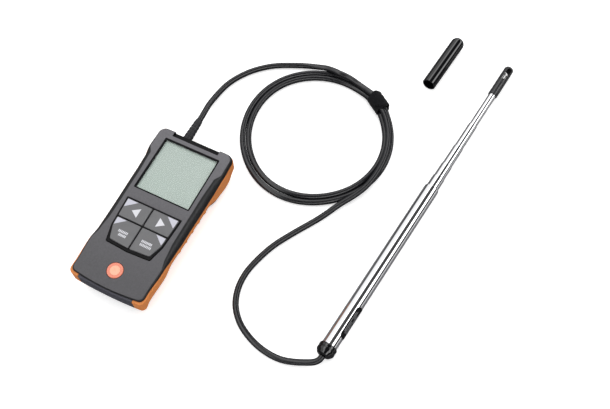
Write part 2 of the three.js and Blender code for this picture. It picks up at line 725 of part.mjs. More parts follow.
// Two strands side by side on the floor, as one ring with the groove between them.
function cableCoil() {
  const r = CABLE / 2;
  const low = CABLE_Z - r;
  const high = CABLE_Z + r;
  const section = [
    [COIL_INNER, low], [COIL_OUTER, low],
    [COIL_OUTER + 0.75 * r, low + 0.35 * r], [COIL_OUTER + r, CABLE_Z],
    [COIL_OUTER + 0.7 * r, high - 0.3 * r], [COIL_OUTER, high - 0.05],
    [(COIL_INNER + COIL_OUTER) / 2, high - 1.2],
    [COIL_INNER, high - 0.05], [COIL_INNER - 0.7 * r, high - 0.3 * r],
    [COIL_INNER - r, CABLE_Z], [COIL_INNER - 0.75 * r, low + 0.35 * r],
  ];
  const ring = closedRing(section, 52).rotateX(Math.PI / 2);
  ring.translate(COIL_CENTRE[0], COIL_CENTRE[1], 0);
  const half = TIE_WIDTH / 2 + GAP;
  const notch = box(TIE_INNER - 2, TIE_OUTER + 2, -half, half, -1, TIE_THICKNESS + GAP);
  notch.rotateZ(THREE.MathUtils.degToRad(TIE_ANGLE)).translate(COIL_CENTRE[0], COIL_CENTRE[1], 0);
  return combine(ring, { remove: [notch] });
}

// A strap round the three strands of the coil, with its free end lapped down the inside.
function cableTie() {
  const half = TIE_WIDTH / 2;
  const t = TIE_THICKNESS;
  const strap = box(TIE_INNER - t, TIE_OUTER + t, -half, half, 0, TIE_HEIGHT);
  const hole = box(TIE_INNER, TIE_OUTER, -50, 50, t, TIE_HEIGHT - t);
  const tail = box(TIE_INNER - 2 * t - 0.1, TIE_INNER - t + 0.1, -half, half, TIE_TAIL_LOW, TIE_HEIGHT);
  const tie = combine(strap, { add: [tail], remove: [hole] });
  return tie.rotateZ(THREE.MathUtils.degToRad(TIE_ANGLE)).translate(COIL_CENTRE[0], COIL_CENTRE[1], 0);
}

// ---------------------------------------------------------------- probe, built along its own +Y

function probeEndCap() {
  const inner = HANDLE_RADIUS - HANDLE_WALL - 0.15;
  const points = [
    [0, 0], [4.2, 0], [5.4, 1], [COLLAR_RADIUS, 3.4], [COLLAR_RADIUS, COLLAR_LENGTH - 1.2],
    [COLLAR_RADIUS - 0.5, COLLAR_LENGTH], [HANDLE_RADIUS + 0.15, COLLAR_LENGTH],
    [HANDLE_RADIUS + 0.15, 4], [inner, 4], [inner, COLLAR_LENGTH + 4], [0, COLLAR_LENGTH + 4],
  ];
  return turned(points);
}

// A tube from y0 to y1 whose mouth is rolled in towards the next section.
function telescopeTube(radius, wall, y0, y1, nextRadius) {
  const inner = radius - wall;
  const lip = nextRadius + LIP_CLEARANCE;
  const points = [
    [inner, y0], [radius, y0], [radius, y1 - 0.5], [radius - 0.35, y1], [lip, y1],
    [lip, y1 - LIP_LENGTH], [inner, y1 - LIP_LENGTH - 0.4],
  ];
  return closedRing(points);
}

function handleTube() {
  return telescopeTube(HANDLE_RADIUS, HANDLE_WALL, 4.3, HANDLE_MOUTH, SECTION_RADII[0]);
}

// The last section carries the head, so its mouth stays plain.
function lastSection(radius, y0, y1) {
  return closedRing([[radius - SECTION_WALL, y0], [radius, y0], [radius, y1], [radius - SECTION_WALL, y1]]);
}

function slideBush(outerInner, sectionInner, y) {
  const outer = outerInner - BUSH_CLEARANCE;
  const inner = sectionInner - BUSH_THICKNESS;
  return closedRing([[inner, y - BUSH_LENGTH], [outer, y - BUSH_LENGTH], [outer, y], [inner, y]]);
}

function ratingLabel() {
  const low = LABEL_LOW;
  const high = LABEL_HIGH;
  const r0 = HANDLE_RADIUS + 0.1;
  const r1 = HANDLE_RADIUS + 0.3;
  const skin = new THREE.LatheGeometry(
    [[r0, low], [r1, low], [r1, high], [r0, high], [r0, low]].map(([r, y]) => new THREE.Vector2(r, y)),
    36,
  );
  const spread = THREE.MathUtils.degToRad(LABEL_SPREAD / 2);
  const reach = 20;
  const across = reach * Math.sin(spread);
  const up = reach * Math.cos(spread);
  const sector = [[0, 0], [-across, up], [across, up]];
  // A wedge with its edge on the tube's axis, pointing up, then turned to the label's side.
  const wedge = prism(sector, 0, high - low + 4).rotateX(Math.PI / 2).translate(0, high + 2, 0);
  wedge.rotateY(THREE.MathUtils.degToRad(LABEL_TURN));
  return common(skin, wedge);
}

// The end of the probe: a closed black sleeve with a slot right through it near its domed tip.
function sensorHead(y0) {
  const r = HEAD_RADIUS;
  const end = y0 + HEAD_LENGTH;
  const points = [[0, y0], [r - 0.3, y0], [r, y0 + 0.4], [r, end - 3]];
  const domeSteps = 4;
  for (let i = 1; i <= domeSteps; i++) {
    const angle = (Math.PI / 2) * (i / domeSteps);
    points.push([i === domeSteps ? 0 : r * Math.cos(angle), end - 3 + 3 * Math.sin(angle)]);
  }
  const half = SLOT_WIDTH / 2;
  const low = y0 + SLOT_LOW;
  const high = y0 + SLOT_HIGH;
  const slot = [];
  const arcSteps = 6;
  for (let i = 0; i <= arcSteps; i++) {
    const angle = Math.PI * (i / arcSteps);
    slot.push([half * Math.cos(angle), high - half + half * Math.sin(angle)]);
  }
  slot.push([-half, low], [half, low]);
  const cutter = prism(slot, -20, 20).rotateY(THREE.MathUtils.degToRad(SLOT_TURN));
  return combine(turned(points), { remove: [cutter] });
}

// A sensing element on its stem, standing in the slot.
function sensingElement(y0, offset, radius, length) {
  const low = y0 + SLOT_LOW + GAP;
  const stem = radius * 0.6;
  const points = [
    [0, low], [stem, low], [stem, low + length - 3 * radius], [radius, low + length - 2 * radius],
    [radius, low + length - radius * 0.6], [radius * 0.5, low + length], [0, low + length],
  ];
  return turned(points, 12).translate(offset, 0, 0).rotateY(THREE.MathUtils.degToRad(SLOT_TURN));
}

function buildTelescope(parent) {
  let mouth = HANDLE_MOUTH;
  let outerInner = HANDLE_RADIUS - HANDLE_WALL;
  SECTION_RADII.forEach((radius, index) => {
    const last = index === SECTION_RADII.length - 1;
    const length = FIRST_SECTION_LENGTH - index * (BUSH_LENGTH + GAP + LIP_CLEARANCE);
    const front = mouth + PROTRUSIONS[index];
    const back = front - length;
    const inner = radius - SECTION_WALL;
    const tube = last
      ? lastSection(radius, back, front - GAP)
      : telescopeTube(radius, SECTION_WALL, back, front, SECTION_RADII[index + 1]);
    piece(`section_${index + 1}`, tube, polishedChrome, parent);
    piece(`slide_bush_${index + 1}`, slideBush(outerInner, inner, back - GAP), brass, parent);
    outerInner = inner;
    mouth = front;
  });
  return mouth;
}

// ---------------------------------------------------------------- cap, built along its own +Y

function protectiveCap() {
  const r = CAP_RADIUS;
  const dome = 5;
  const points = [[CAP_BORE, 0], [r - 0.3, 0], [r, 0.4], [r, CAP_LENGTH - dome]];
  const steps = 5;
  for (let i = 1; i <= steps; i++) {
    const angle = (Math.PI / 2) * (i / steps);
    points.push([i === steps ? 0 : r * Math.cos(angle), CAP_LENGTH - dome + dome * Math.sin(angle)]);
  }
  points.push([0, CAP_BORE_DEPTH], [CAP_BORE - 1, CAP_BORE_DEPTH]);
  points.push([CAP_BORE, CAP_BORE_DEPTH - 1], [CAP_BORE, 0]);
  return turned(points);
}

// ---------------------------------------------------------------- assembly

function buildMeter(root) {
  piece("front_shell", frontShell(), shellGrey, root);
  piece("rear_shell", rearShell(), rearGrey, root);
  piece("side_grip_left", sideGrip(-1), gripOrange, root);
  piece("side_grip_right", sideGrip(1), gripOrange, root);
  piece("battery_cover", batteryCover(), rearGrey, root);
  piece("top_panel", topPanel(), softBlack, root);
  SCREWS.forEach(([x, y, head], i) => piece(`housing_screw_${i + 1}`, screw(x, y, head), screwSteel, root));
  piece("display_gasket", displayGasket(), softBlack, root);
  piece("display_window", displayWindow(), clearWindow, root);
  piece("lcd_module", lcdModule(), lcdGreen, root);
  piece("keypad_frame", keypadFrame(), softBlack, root);
  for (const { name, column, row } of KEYS) {
    piece(name, keyCap(column, row), keyGrey, root);
    piece(name.replace("key", "dome"), keyDome(column, row), springSteel, root);
  }
  piece("badge_disc", post(0, BADGE_Y, BADGE_RADIUS, FACE_Z - 0.8, FACE_Z + 0.2, 32), badgeOrange, root);
  piece("main_board", mainBoard(), boardGreen, root);
  for (let i = 0; i < 3; i++) piece(`battery_${i + 1}`, cell(i), cellSleeve, root);
  piece("battery_contacts_low", contactPlate(CELL_LOW_Y - 0.9), springSteel, root);
  piece("battery_contacts_high", contactPlate(CELL_LOW_Y + CELL_LENGTH + 0.4), springSteel, root);
}

function buildCable(root) {
  piece("cable_boot", cableBoot(), softBlack, root);
  const toTie = (TIE_WIDTH / 2 + GAP) / COIL_INNER;
  const tieHalfAngle = THREE.MathUtils.radToDeg(toTie) + 0.6;
  const groove = (COIL_INNER + COIL_OUTER) / 2;
  const ontoTie = [72, TIE_ANGLE + tieHalfAngle].map((angle) => polar(angle, groove, GROOVE_Z));
  const offTie = [TIE_ANGLE - tieHalfAngle, 38, 27].map((angle) => polar(angle, groove, GROOVE_Z));
  piece("cable_lead_meter", cableTube([...METER_LEAD, ...ontoTie], 26), cableGrey, root);
  piece("cable_coil", cableCoil(), cableGrey, root);
  piece("cable_tie", cableTie(), strapBlack, root);
  piece("cable_lead_probe", cableTube([...offTie, ...PROBE_LEAD], 44), cableGrey, root);
}

function buildProbe(root) {
  const probe = new THREE.Group();
  const tilt = Math.asin((COLLAR_RADIUS - HANDLE_RADIUS) / (HANDLE_MOUTH - COLLAR_LENGTH + 1.2));
  probe.rotation.order = "ZXY";
  probe.rotation.set(-tilt, 0, THREE.MathUtils.degToRad(-PROBE_HEADING));
  probe.position.set(PROBE_END[0], PROBE_END[1], COLLAR_RADIUS + COLLAR_LENGTH * Math.sin(tilt));
  root.add(probe);
  piece("probe_end_cap", probeEndCap(), glossBlack, probe);
  piece("handle_tube", handleTube(), polishedChrome, probe);
  piece("rating_label", ratingLabel(), labelBlack, probe);
  const headStart = buildTelescope(probe);
  piece("sensor_head", sensorHead(headStart), headBlack, probe);
  piece("flow_sensor", sensingElement(headStart, -0.9, 0.7, 8.5), ceramic, probe);
  piece("temperature_sensor", sensingElement(headStart, 0.9, 0.55, 7), ceramic, probe);
}

function buildCap(root) {
  const cap = new THREE.Group();
  cap.rotation.z = THREE.MathUtils.degToRad(-CAP_HEADING);
  cap.position.set(CAP_OPEN_END[0], CAP_OPEN_END[1], CAP_RADIUS);
  root.add(cap);
  piece("protective_cap", protectiveCap(), glossBlack, cap);
}

const anemometer = new THREE.Group();
buildMeter(anemometer);
buildCable(anemometer);
buildProbe(anemometer);
buildCap(anemometer);

export default anemometer;
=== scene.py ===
"""The looks of a hand-held air-velocity meter, its cable, its telescopic probe and its loose cap."""

from math import asin, copysign, cos, pi, radians, sin, sqrt

import bmesh
import bpy
from mathutils import Matrix, Vector


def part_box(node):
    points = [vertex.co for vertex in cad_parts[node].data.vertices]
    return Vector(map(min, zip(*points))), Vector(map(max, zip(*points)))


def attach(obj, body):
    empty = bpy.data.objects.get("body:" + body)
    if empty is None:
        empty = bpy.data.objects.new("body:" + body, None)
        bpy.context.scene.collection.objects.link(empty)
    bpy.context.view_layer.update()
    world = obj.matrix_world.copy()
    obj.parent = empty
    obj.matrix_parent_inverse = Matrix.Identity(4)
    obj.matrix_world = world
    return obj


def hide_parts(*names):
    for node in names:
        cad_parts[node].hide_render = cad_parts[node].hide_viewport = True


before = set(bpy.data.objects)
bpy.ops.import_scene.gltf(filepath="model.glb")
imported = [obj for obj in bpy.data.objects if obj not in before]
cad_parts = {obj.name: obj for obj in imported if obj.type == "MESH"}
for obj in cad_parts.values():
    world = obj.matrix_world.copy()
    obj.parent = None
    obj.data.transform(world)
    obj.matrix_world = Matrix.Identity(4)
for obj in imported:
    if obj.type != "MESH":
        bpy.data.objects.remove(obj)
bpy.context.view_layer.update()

# Lengths here are in millimetres, and angles in degrees, until a mesh is made from them.
MM = 0.001
GAP = 0.3  # clearance between two pieces that touch
SLIT = 0.1  # half of the joint between two shells, and between a grip and its shell

# Housing: four lines round it. Each has half-widths along its length, (y, half-width), two ends,
# the bulge of its bottom edge and the radii of its corners.
SPLIT_Z = 14
FACE_Z = 26.8
FACE_THICKNESS = 1.6
WALL = 1.8
FLOOR_THICKNESS = 2
FOOT_Z = 1.2
ABOVE_PART = 28  # above every part of the parting line
OPEN_TOP = 40  # above everything
BACK_EDGE = 1.2
FACE_LINE = {
    "halves": [
        (-60, 28.8), (-41, 29.7), (-31, 27.5), (-18, 26.2), (20, 26.5), (41, 27.4), (47.5, 31), (61, 31.1),
    ],
    "bottom": -66.8, "top": 65.2, "bulge": 2.4, "bottom_corner": 3, "top_corner": 5,
}
PART_LINE = {
    "halves": [
        (-60, 30.3), (-42, 31.4), (-30, 31.2), (-12, 31.6), (24, 32.2), (38, 32.5), (48, 33.3), (61, 32.9),
    ],
    "bottom": -67.8, "top": 66.8, "bulge": 2.4, "bottom_corner": 3.5, "top_corner": 6,
}
WIDE_LINE = {
    "halves": [
        (-60, 31.5), (-42, 32.2), (-30, 31.6), (-12, 32), (24, 32.6), (36, 33), (47, 33.9), (61, 33.4),
    ],
    "bottom": -70, "top": 67, "bulge": 1.3, "bottom_corner": 4, "top_corner": 6,
}
BACK_LINE = {
    "halves": [
        (-60, 25.6), (-42, 26.4), (-30, 25.4), (-10, 26), (26, 26.8), (38, 30), (50, 30.4), (61, 28.4),
    ],
    "bottom": -66.6, "top": 66, "bulge": 1, "bottom_corner": 5, "top_corner": 6,
}
TOP_BULGE = 0.4
PART_HEIGHTS = [(-60, 25), (-40, 24.5), (-29, 21.8), (-10, 20.7), (30, 20.2), (38, 20.6), (45, 22.6)]
WIDE_HEIGHTS = [
    (-70, 13), (-62, 16.5), (-42, 16), (-30, 18), (-10, 17), (26, 16.5), (37, 9.5), (52, 9.2), (62, 14),
]

GRIP_THICKNESS = 2
GRIP_LOW = 1.5
GRIP_END_X = 23
GRIP_EDGE = 0.7
UNDER_GRIP = GRIP_THICKNESS + SLIT
RIB_COUNT = 6
RIB_FIRST_Y = 27
RIB_PITCH = 9.2
RIB_PROUD = 0.5
RIB_LOW = 13.5
RIB_HIGH = 18.6

PANEL_HALF = 20
PANEL_FRONT_Y = 61.9
PANEL_END_Y = 66.2
PANEL_LOW = 4
PANEL_HIGH = 24.5
BOOT_X = -14.8
BOOT_Z = 11
BOOT_TIP_Y = 91.7
BOOT_BORE = 2.9

WINDOW_HALF_X = 22.8
WINDOW_LOW_Y = 11
WINDOW_HIGH_Y = 57
GASKET_WIDTH = 0.9

PAD_TOP_Y = 0.2
PAD_TOP_HALF = 23.4
PAD_SIDE_Y = -25
PAD_SIDE_HALF = 21.9
PAD_BOTTOM_Y = -37.8
PAD_BOTTOM_HALF = 18.6
PAD_POINT_Y = -39
PAD_TOP = 27.1
KEY_ROW_Y = -16.8
KEY_GAP = 1.2
KEY_BORDER = 1.1
KEY_TOP = 27.9
KEY_BOTTOM = 23.2
KEY_SLIT = 0.25

BADGE_Y = -55.3
BADGE_RADIUS = 6.1
BADGE_CENTRE_SHARE = 0.62

CELL_RADIUS = 7.2
CELL_LENGTH = 50.3
CELL_LOW_Y = -57.8
CELL_PITCH = 14.9
CELL_Z = 9.6

COVER_THICKNESS = 1.75
COVER_LOW_HALF = 21.5
COVER_HIGH_HALF = 22.5
COVER_INNER_Y = -5
COVER_OUTER_Y = -66
COVER_LIFT = 0.1

SCREWS = [(23, 61, 2.6), (-23, 61, 2.6), (10, -62.2, 4.3), (-10, -62.2, 4.3)]
BOSS_RADIUS = 2.9
SCREW_HEAD_RADIUS = 2
SCREW_HEAD_HEIGHT = 1.8
SCREW_RADIUS = 1.2
SCREW_LENGTH = 17.4

# Probe.
PROBE_HEADING = 6.83
PROBE_END = (160.4, -41.4)
COLLAR_RADIUS = 7
COLLAR_LENGTH = 9
HANDLE_RADIUS = 6
HANDLE_WALL = 0.6
HANDLE_MOUTH = 162
SECTION_WALL = 0.3
SECTION_RADII = [5, 4.55, 4.1, 3.65, 3.2]
PROTRUSIONS = [11.4, 13.6, 20, 25.5, 35]
FIRST_SECTION_LENGTH = 128.5
LIP_LENGTH = 1.2
LIP_CLEARANCE = 0.07
BUSH_LENGTH = 3
BUSH_CLEARANCE = 0.06
BUSH_THICKNESS = 0.7
HEAD_RADIUS = 4
HEAD_LENGTH = 34
HEAD_DOME = 3
SLOT_LOW = 18.2
SLOT_HIGH = 30.8
SLOT_WIDTH = 3.8
SLOT_TURN = 15
LABEL_LOW = 18
LABEL_HIGH = 45
LABEL_TURN = 67
LABEL_SPREAD = 80
# Rows of print: degrees from the label's middle, and where each bar starts and ends.
LABEL_BARS = [
    (-27, 23, 40), (-16, 22, 32), (-16, 34.5, 41), (-3, 22, 38), (10, 23, 30), (10, 32, 41), (23, 23, 36),
]

# Protective cap.
CAP_OPEN_END = (139.95, 211.1)
CAP_HEADING = 7.1
CAP_RADIUS = 5.8
CAP_BORE = 4.6
CAP_LENGTH = 56
CAP_DOME = 5.6
CAP_BORE_DEPTH = 50

# Cable.
CABLE = 4.8
CABLE_Z = 2.5
COIL_CENTRE = (74.7, 125.9)
COIL_MIDDLE = 59.5  # radius of the groove between the two strands
BUNDLE = 2.83  # the three strands at the tie lie on a circle of this radius
# The hand-wound coil isn't quite round: (reach, angle where it is full, half-width in degrees).
LOOSE_OUTER = (0.5, 268, 48)  # the outer strand alone stands off
PULLED_OUT = (1.1, 268, 48)
PULLED_IN = (1.8, 195, 62)
TIE_LIFT = 2.4  # how far the bundle's centre rises at the tie
TIE_LIFT_HALF = 27
TIE_ANGLE = 54.5
TIE_WIDTH = 16
TIE_THICKNESS = 0.9
METER_LEAD = [
    (-14.8, 92, 11), (-15, 97.5, 10.8), (-15.7, 103.5, 9.8), (-16.7, 110, 7.7), (-17.4, 116.5, 5.2),
    (-17.4, 123, 3.5), (-16.8, 129.5, 2.65), (-14.9, 137.8, 2.5), (-10.9, 147.2, 2.5),
    (-2.5, 159.7, 2.5), (11.1, 172.1, 2.5), (27.9, 181.1, 2.55), (37.6, 184.9, 3),
    (46.3, 187, 4.15), (54.9, 188.3, 5.85), (62.2, 187.8, 7.35), (67.2, 187.1, 7.9),
    (74.7, 186.9, 7.65), (81, 185.8, 7.45), (87.1, 184.3, 7.15),
]
PROBE_LEAD = [
    (132.3, 141.3, 7.15), (134.9, 129.1, 7.42), (135.4, 117.4, 7.65), (134.4, 106.5, 7.55),
    (131.9, 96.8, 7), (127.5, 87.6, 6), (119.2, 74.8, 3.85), (114.1, 65.2, 2.75),
    (109.1, 56.1, 2.5), (98.4, 38.9, 2.5), (88.9, 22, 2.5), (83.5, 7.3, 2.5),
    (80.3, -7, 2.5), (80.8, -21, 2.5), (85.5, -33.8, 2.5), (94.2, -43.8, 2.5),
    (104.3, -50, 2.5), (114.7, -53.9, 2.5), (125.4, -55.7, 2.55), (134.9, -55.5, 2.95),
    (144.3, -53.1, 4.1), (149.6, -51.1, 5.1), (154.2, -49.2, 6.1), (157.4, -47.3, 6.7),
    (159.5, -44.8, 6.95), (160.33, -41.85, 7),
]

CAMERA_AT = (219.34, -190.32, 566.52)
CAMERA_TARGET = (94.4, 65.3, 0)
CAMERA_LENS = 47.21


# --- camera, floor and light


def make_camera():
    data = bpy.data.cameras.new("camera")
    data.sensor_width = 36
    data.lens = CAMERA_LENS
    data.clip_start = 0.01
    camera = bpy.data.objects.new("camera", data)
    camera.location = Vector(CAMERA_AT) * MM
    camera.rotation_mode = "QUATERNION"
    aim = Vector(CAMERA_TARGET) - Vector(CAMERA_AT)
    camera.rotation_quaternion = aim.to_track_quat("-Z", "Y")
    bpy.context.scene.collection.objects.link(camera)
    bpy.context.scene.camera = camera


def node(tree, kind, settings=None, **inputs):
    """A shader node with its settings and inputs: an input is a value, or another node's output."""
    made = tree.nodes.new("ShaderNode" + kind)
    for key, value in (settings or {}).items():
        setattr(made, key, value)
    for key, value in inputs.items():
        socket = made.inputs[int(key[1:])] if key[0] == "i" and key[1:].isdigit() else made.inputs[key]
        if isinstance(value, bpy.types.NodeSocket):
            tree.links.new(value, socket)
        else:
            socket.default_value = value
    return made


def smooth_mask(tree, value, low, high):
    """0 below low and 1 above high, with a smooth step between them."""
    return node(
        tree, "MapRange", {"interpolation_type": "SMOOTHSTEP"}, i0=value, i1=low, i2=high
    ).outputs[0]


def maths(tree, operation, first, second):
    return node(tree, "Math", {"operation": operation}, i0=first, i1=second).outputs[0]


def make_world():
    """A white studio. Shiny things see it dark, with a long soft strip on each side of the camera."""
    world = bpy.data.worlds.new("studio")
    world.use_nodes = True
    tree = world.node_tree
    tree.nodes.clear()
    direction = node(tree, "TexCoord").outputs["Generated"]
    heading = radians(PROBE_HEADING)

    def toward(aim):
        product = node(tree, "VectorMath", {"operation": "DOT_PRODUCT"}, i0=direction, i1=aim)
        return product.outputs["Value"]

    side = toward((cos(heading), -sin(heading), 0))
    tilt = maths(tree, "ARCTAN2", side, toward((0, 0, 1)))

    def strip(dark, full, bright_end, end):
        """1 from `full` to `bright_end` and 0 outside `dark` and `end`, in degrees from +Z to the right."""
        rise = smooth_mask(tree, tilt, radians(dark), radians(full))
        fall = smooth_mask(tree, tilt, radians(end), radians(bright_end))
        return maths(tree, "MULTIPLY", rise, fall)

    soft_box = smooth_mask(tree, toward(SOFT_BOX), *[cos(radians(a)) for a in SOFT_BOX_EDGE])
    diffuse = maths(tree, "ADD", maths(tree, "MULTIPLY", soft_box, SOFT_BOX_LIGHT), ROOM_LIGHT)
    seen = DIM_LIGHT
    for light, *tilts in STRIPS:
        seen = maths(tree, "ADD", maths(tree, "MULTIPLY", strip(*tilts), light), seen)
    path = node(tree, "LightPath").outputs
    glossy = maths(tree, "SUBTRACT", path["Is Glossy Ray"], path["Is Transmission Ray"])
    strength = node(tree, "Mix", {"data_type": "FLOAT"}, i0=glossy)
    tree.links.new(diffuse, strength.inputs[2])
    tree.links.new(seen, strength.inputs[3])
    background = node(tree, "Background", Color=(1, 1, 1, 1), Strength=strength.outputs[0])
    output = node(tree, "OutputWorld")
    tree.links.new(background.outputs[0], output.inputs[0])
    bpy.context.scene.world = world


# Each strip's light, and the four tilts between which it rises to full and falls again.
STRIPS = [(0.98, -84, -68, -19, -6), (1.8, -42, -30, -20, -11), (4.2, 31, 42, 52, 65)]
DIM_LIGHT = 0.06
SOFT_BOX = (-0.197, 0.403, 0.894)
SOFT_BOX_EDGE = (42, 20)
SOFT_BOX_LIGHT = 1.6
ROOM_LIGHT = 0.75


def make_floor():
    """A white floor, which shiny things see darker."""
    floor = skin("floor", [[(x, y, FLOOR_Z) for x, y in rectangle(FLOOR_HALF, FLOOR_HALF)]], caps=1)
    look, tree, shader = principled("floor")
    path = node(tree, "LightPath").outputs
    across = node(tree, "SeparateXYZ", i0=node(tree, "TexCoord").outputs["Object"]).outputs[0]
    right = smooth_mask(tree, across, *[x * MM for x in FLOOR_WHITENS])
    seen = blend_colours(tree, right, FLOOR_SEEN, FLOOR_WHITE)
    colour = blend_colours(tree, path["Is Glossy Ray"], FLOOR_WHITE, seen)
    glow = maths(tree, "MULTIPLY", path["Is Camera Ray"], FLOOR_GLOW)
    tree.links.new(colour, shader.inputs["Base Color"])
    tree.links.new(glow, shader.inputs["Emission Strength"])
    shader.inputs["Emission Color"].default_value = (1, 1, 1, 1)
    shader.inputs["Roughness"].default_value = 0.9
    shader.inputs["Specular IOR Level"].default_value = 0.1
    floor.data.materials.append(look)


FLOOR_Z = -0.02  # just under the surface that the object lies on
FLOOR_HALF = 9000
FLOOR_WHITE = (0.9, 0.9, 0.9)
FLOOR_SEEN = (0.16, 0.16, 0.165)
FLOOR_WHITENS = (190, 300)  # shiny things see the floor turn white between these x
FLOOR_GLOW = 0.5


# --- materials


def principled(name):
    made = bpy.data.materials.new(name)
    made.use_nodes = True
    return made, made.node_tree, made.node_tree.nodes["Principled BSDF"]


def noise_at(tree, coordinates, scale, detail=3.0, distortion=0.0):
    return node(
        tree, "TexNoise", Vector=coordinates, Scale=scale, Detail=detail, Distortion=distortion
    ).outputs["Fac"]


def blend_colours(tree, factor, first, second):
    mix = node(tree, "Mix", {"data_type": "RGBA"}, i0=factor)
    for socket, value in ((mix.inputs[6], first), (mix.inputs[7], second)):
        if isinstance(value, bpy.types.NodeSocket):
            tree.links.new(value, socket)
        else:
            socket.default_value = (*value, 1)
    return mix.outputs[2]


def finish_look(
    name, first, second, roughness, patches=90, grain=2600, depth=0.01, strength=0.3, metallic=0.0,
    specular=0.5, coat=0.0, coat_roughness=0.1, stretch=(1, 1, 1), rough_spread=0.08, extra=None, **values
):
    """A moulded or turned finish: two close colours in soft patches, an uneven gloss and a fine grain."""
    made, tree, shader = principled(name)
    spot = node(tree, "TexCoord").outputs["Object"]
    stretched = node(tree, "Mapping", i0=spot, Scale=stretch).outputs[0]
    colour = blend_colours(tree, noise_at(tree, spot, patches), first, second)
    if extra:
        colour = extra(tree, spot, colour)
    tree.links.new(colour, shader.inputs["Base Color"])
    uneven = node(
        tree, "MapRange", i0=noise_at(tree, spot, patches * 2.3, 5.0),
        i1=0.3, i2=0.7, i3=max(roughness - rough_spread, 0.02), i4=roughness + rough_spread,
    )
    tree.links.new(uneven.outputs[0], shader.inputs["Roughness"])
    bump = node(
        tree, "Bump", Strength=strength, Distance=depth * MM,
        Height=noise_at(tree, stretched, grain, 2.0),
    )
    tree.links.new(bump.outputs[0], shader.inputs["Normal"])
    shader.inputs["Metallic"].default_value = metallic
    shader.inputs["Specular IOR Level"].default_value = specular
    shader.inputs["Coat Weight"].default_value = coat
    shader.inputs["Coat Roughness"].default_value = coat_roughness
    for key, value in values.items():
        shader.inputs[key.replace("_", " ")].default_value = value
    return made


def painted_side_shade_and_top_light(tree, spot, colour):
    """Painted shade: the moulding is coloured near black below the edge of the face. Painted light: the
    face is coloured lighter towards the top end.
    """
    place = node(tree, "SeparateXYZ", i0=spot).outputs
    # painted light: the face's colour grows lighter towards the top end
    share = node(tree, "MapRange", i0=place[1], i1=-60 * MM, i2=60 * MM, i3=1.0, i4=TOP_END_PAINTED_LIGHT)
    lit = node(tree, "VectorMath", {"operation": "SCALE"}, i0=colour, Scale=share.outputs[0]).outputs[0]
    # painted shade: near black below the face's edge, on both sides
    on_face = smooth_mask(tree, place[2], *[z * MM for z in SIDE_EDGE_HEIGHTS])
    return blend_colours(tree, on_face, SIDE_PAINTED_SHADE, lit)


def bare_ends(tree, spot, colour):
    """A cell's sleeve stops short of its two bare metal ends."""
    y = node(tree, "SeparateXYZ", i0=spot).outputs[1]
    low, high = CELL_LOW_Y, CELL_LOW_Y + CELL_LENGTH
    far, near = BARE_END + 0.1, BARE_END - 0.1
    low_end = smooth_mask(tree, y, (low + far) * MM, (low + near) * MM)
    high_end = smooth_mask(tree, y, (high - far) * MM, (high - near) * MM)
    return blend_colours(tree, maths(tree, "ADD", low_end, high_end), colour, BARE_METAL)


# Painted shade: the near black colour of the sides below the face's edge.
SIDE_PAINTED_SHADE = (0.006, 0.006, 0.007)
SIDE_EDGE_HEIGHTS = (26.68, 26.79)  # the painted shade on the sides ends between these heights
TOP_END_PAINTED_LIGHT = 1.75  # painted light: the face's colour at its top end, against 1 at its bottom end
BARE_END = 1.5
BARE_METAL = (0.6, 0.6, 0.6)


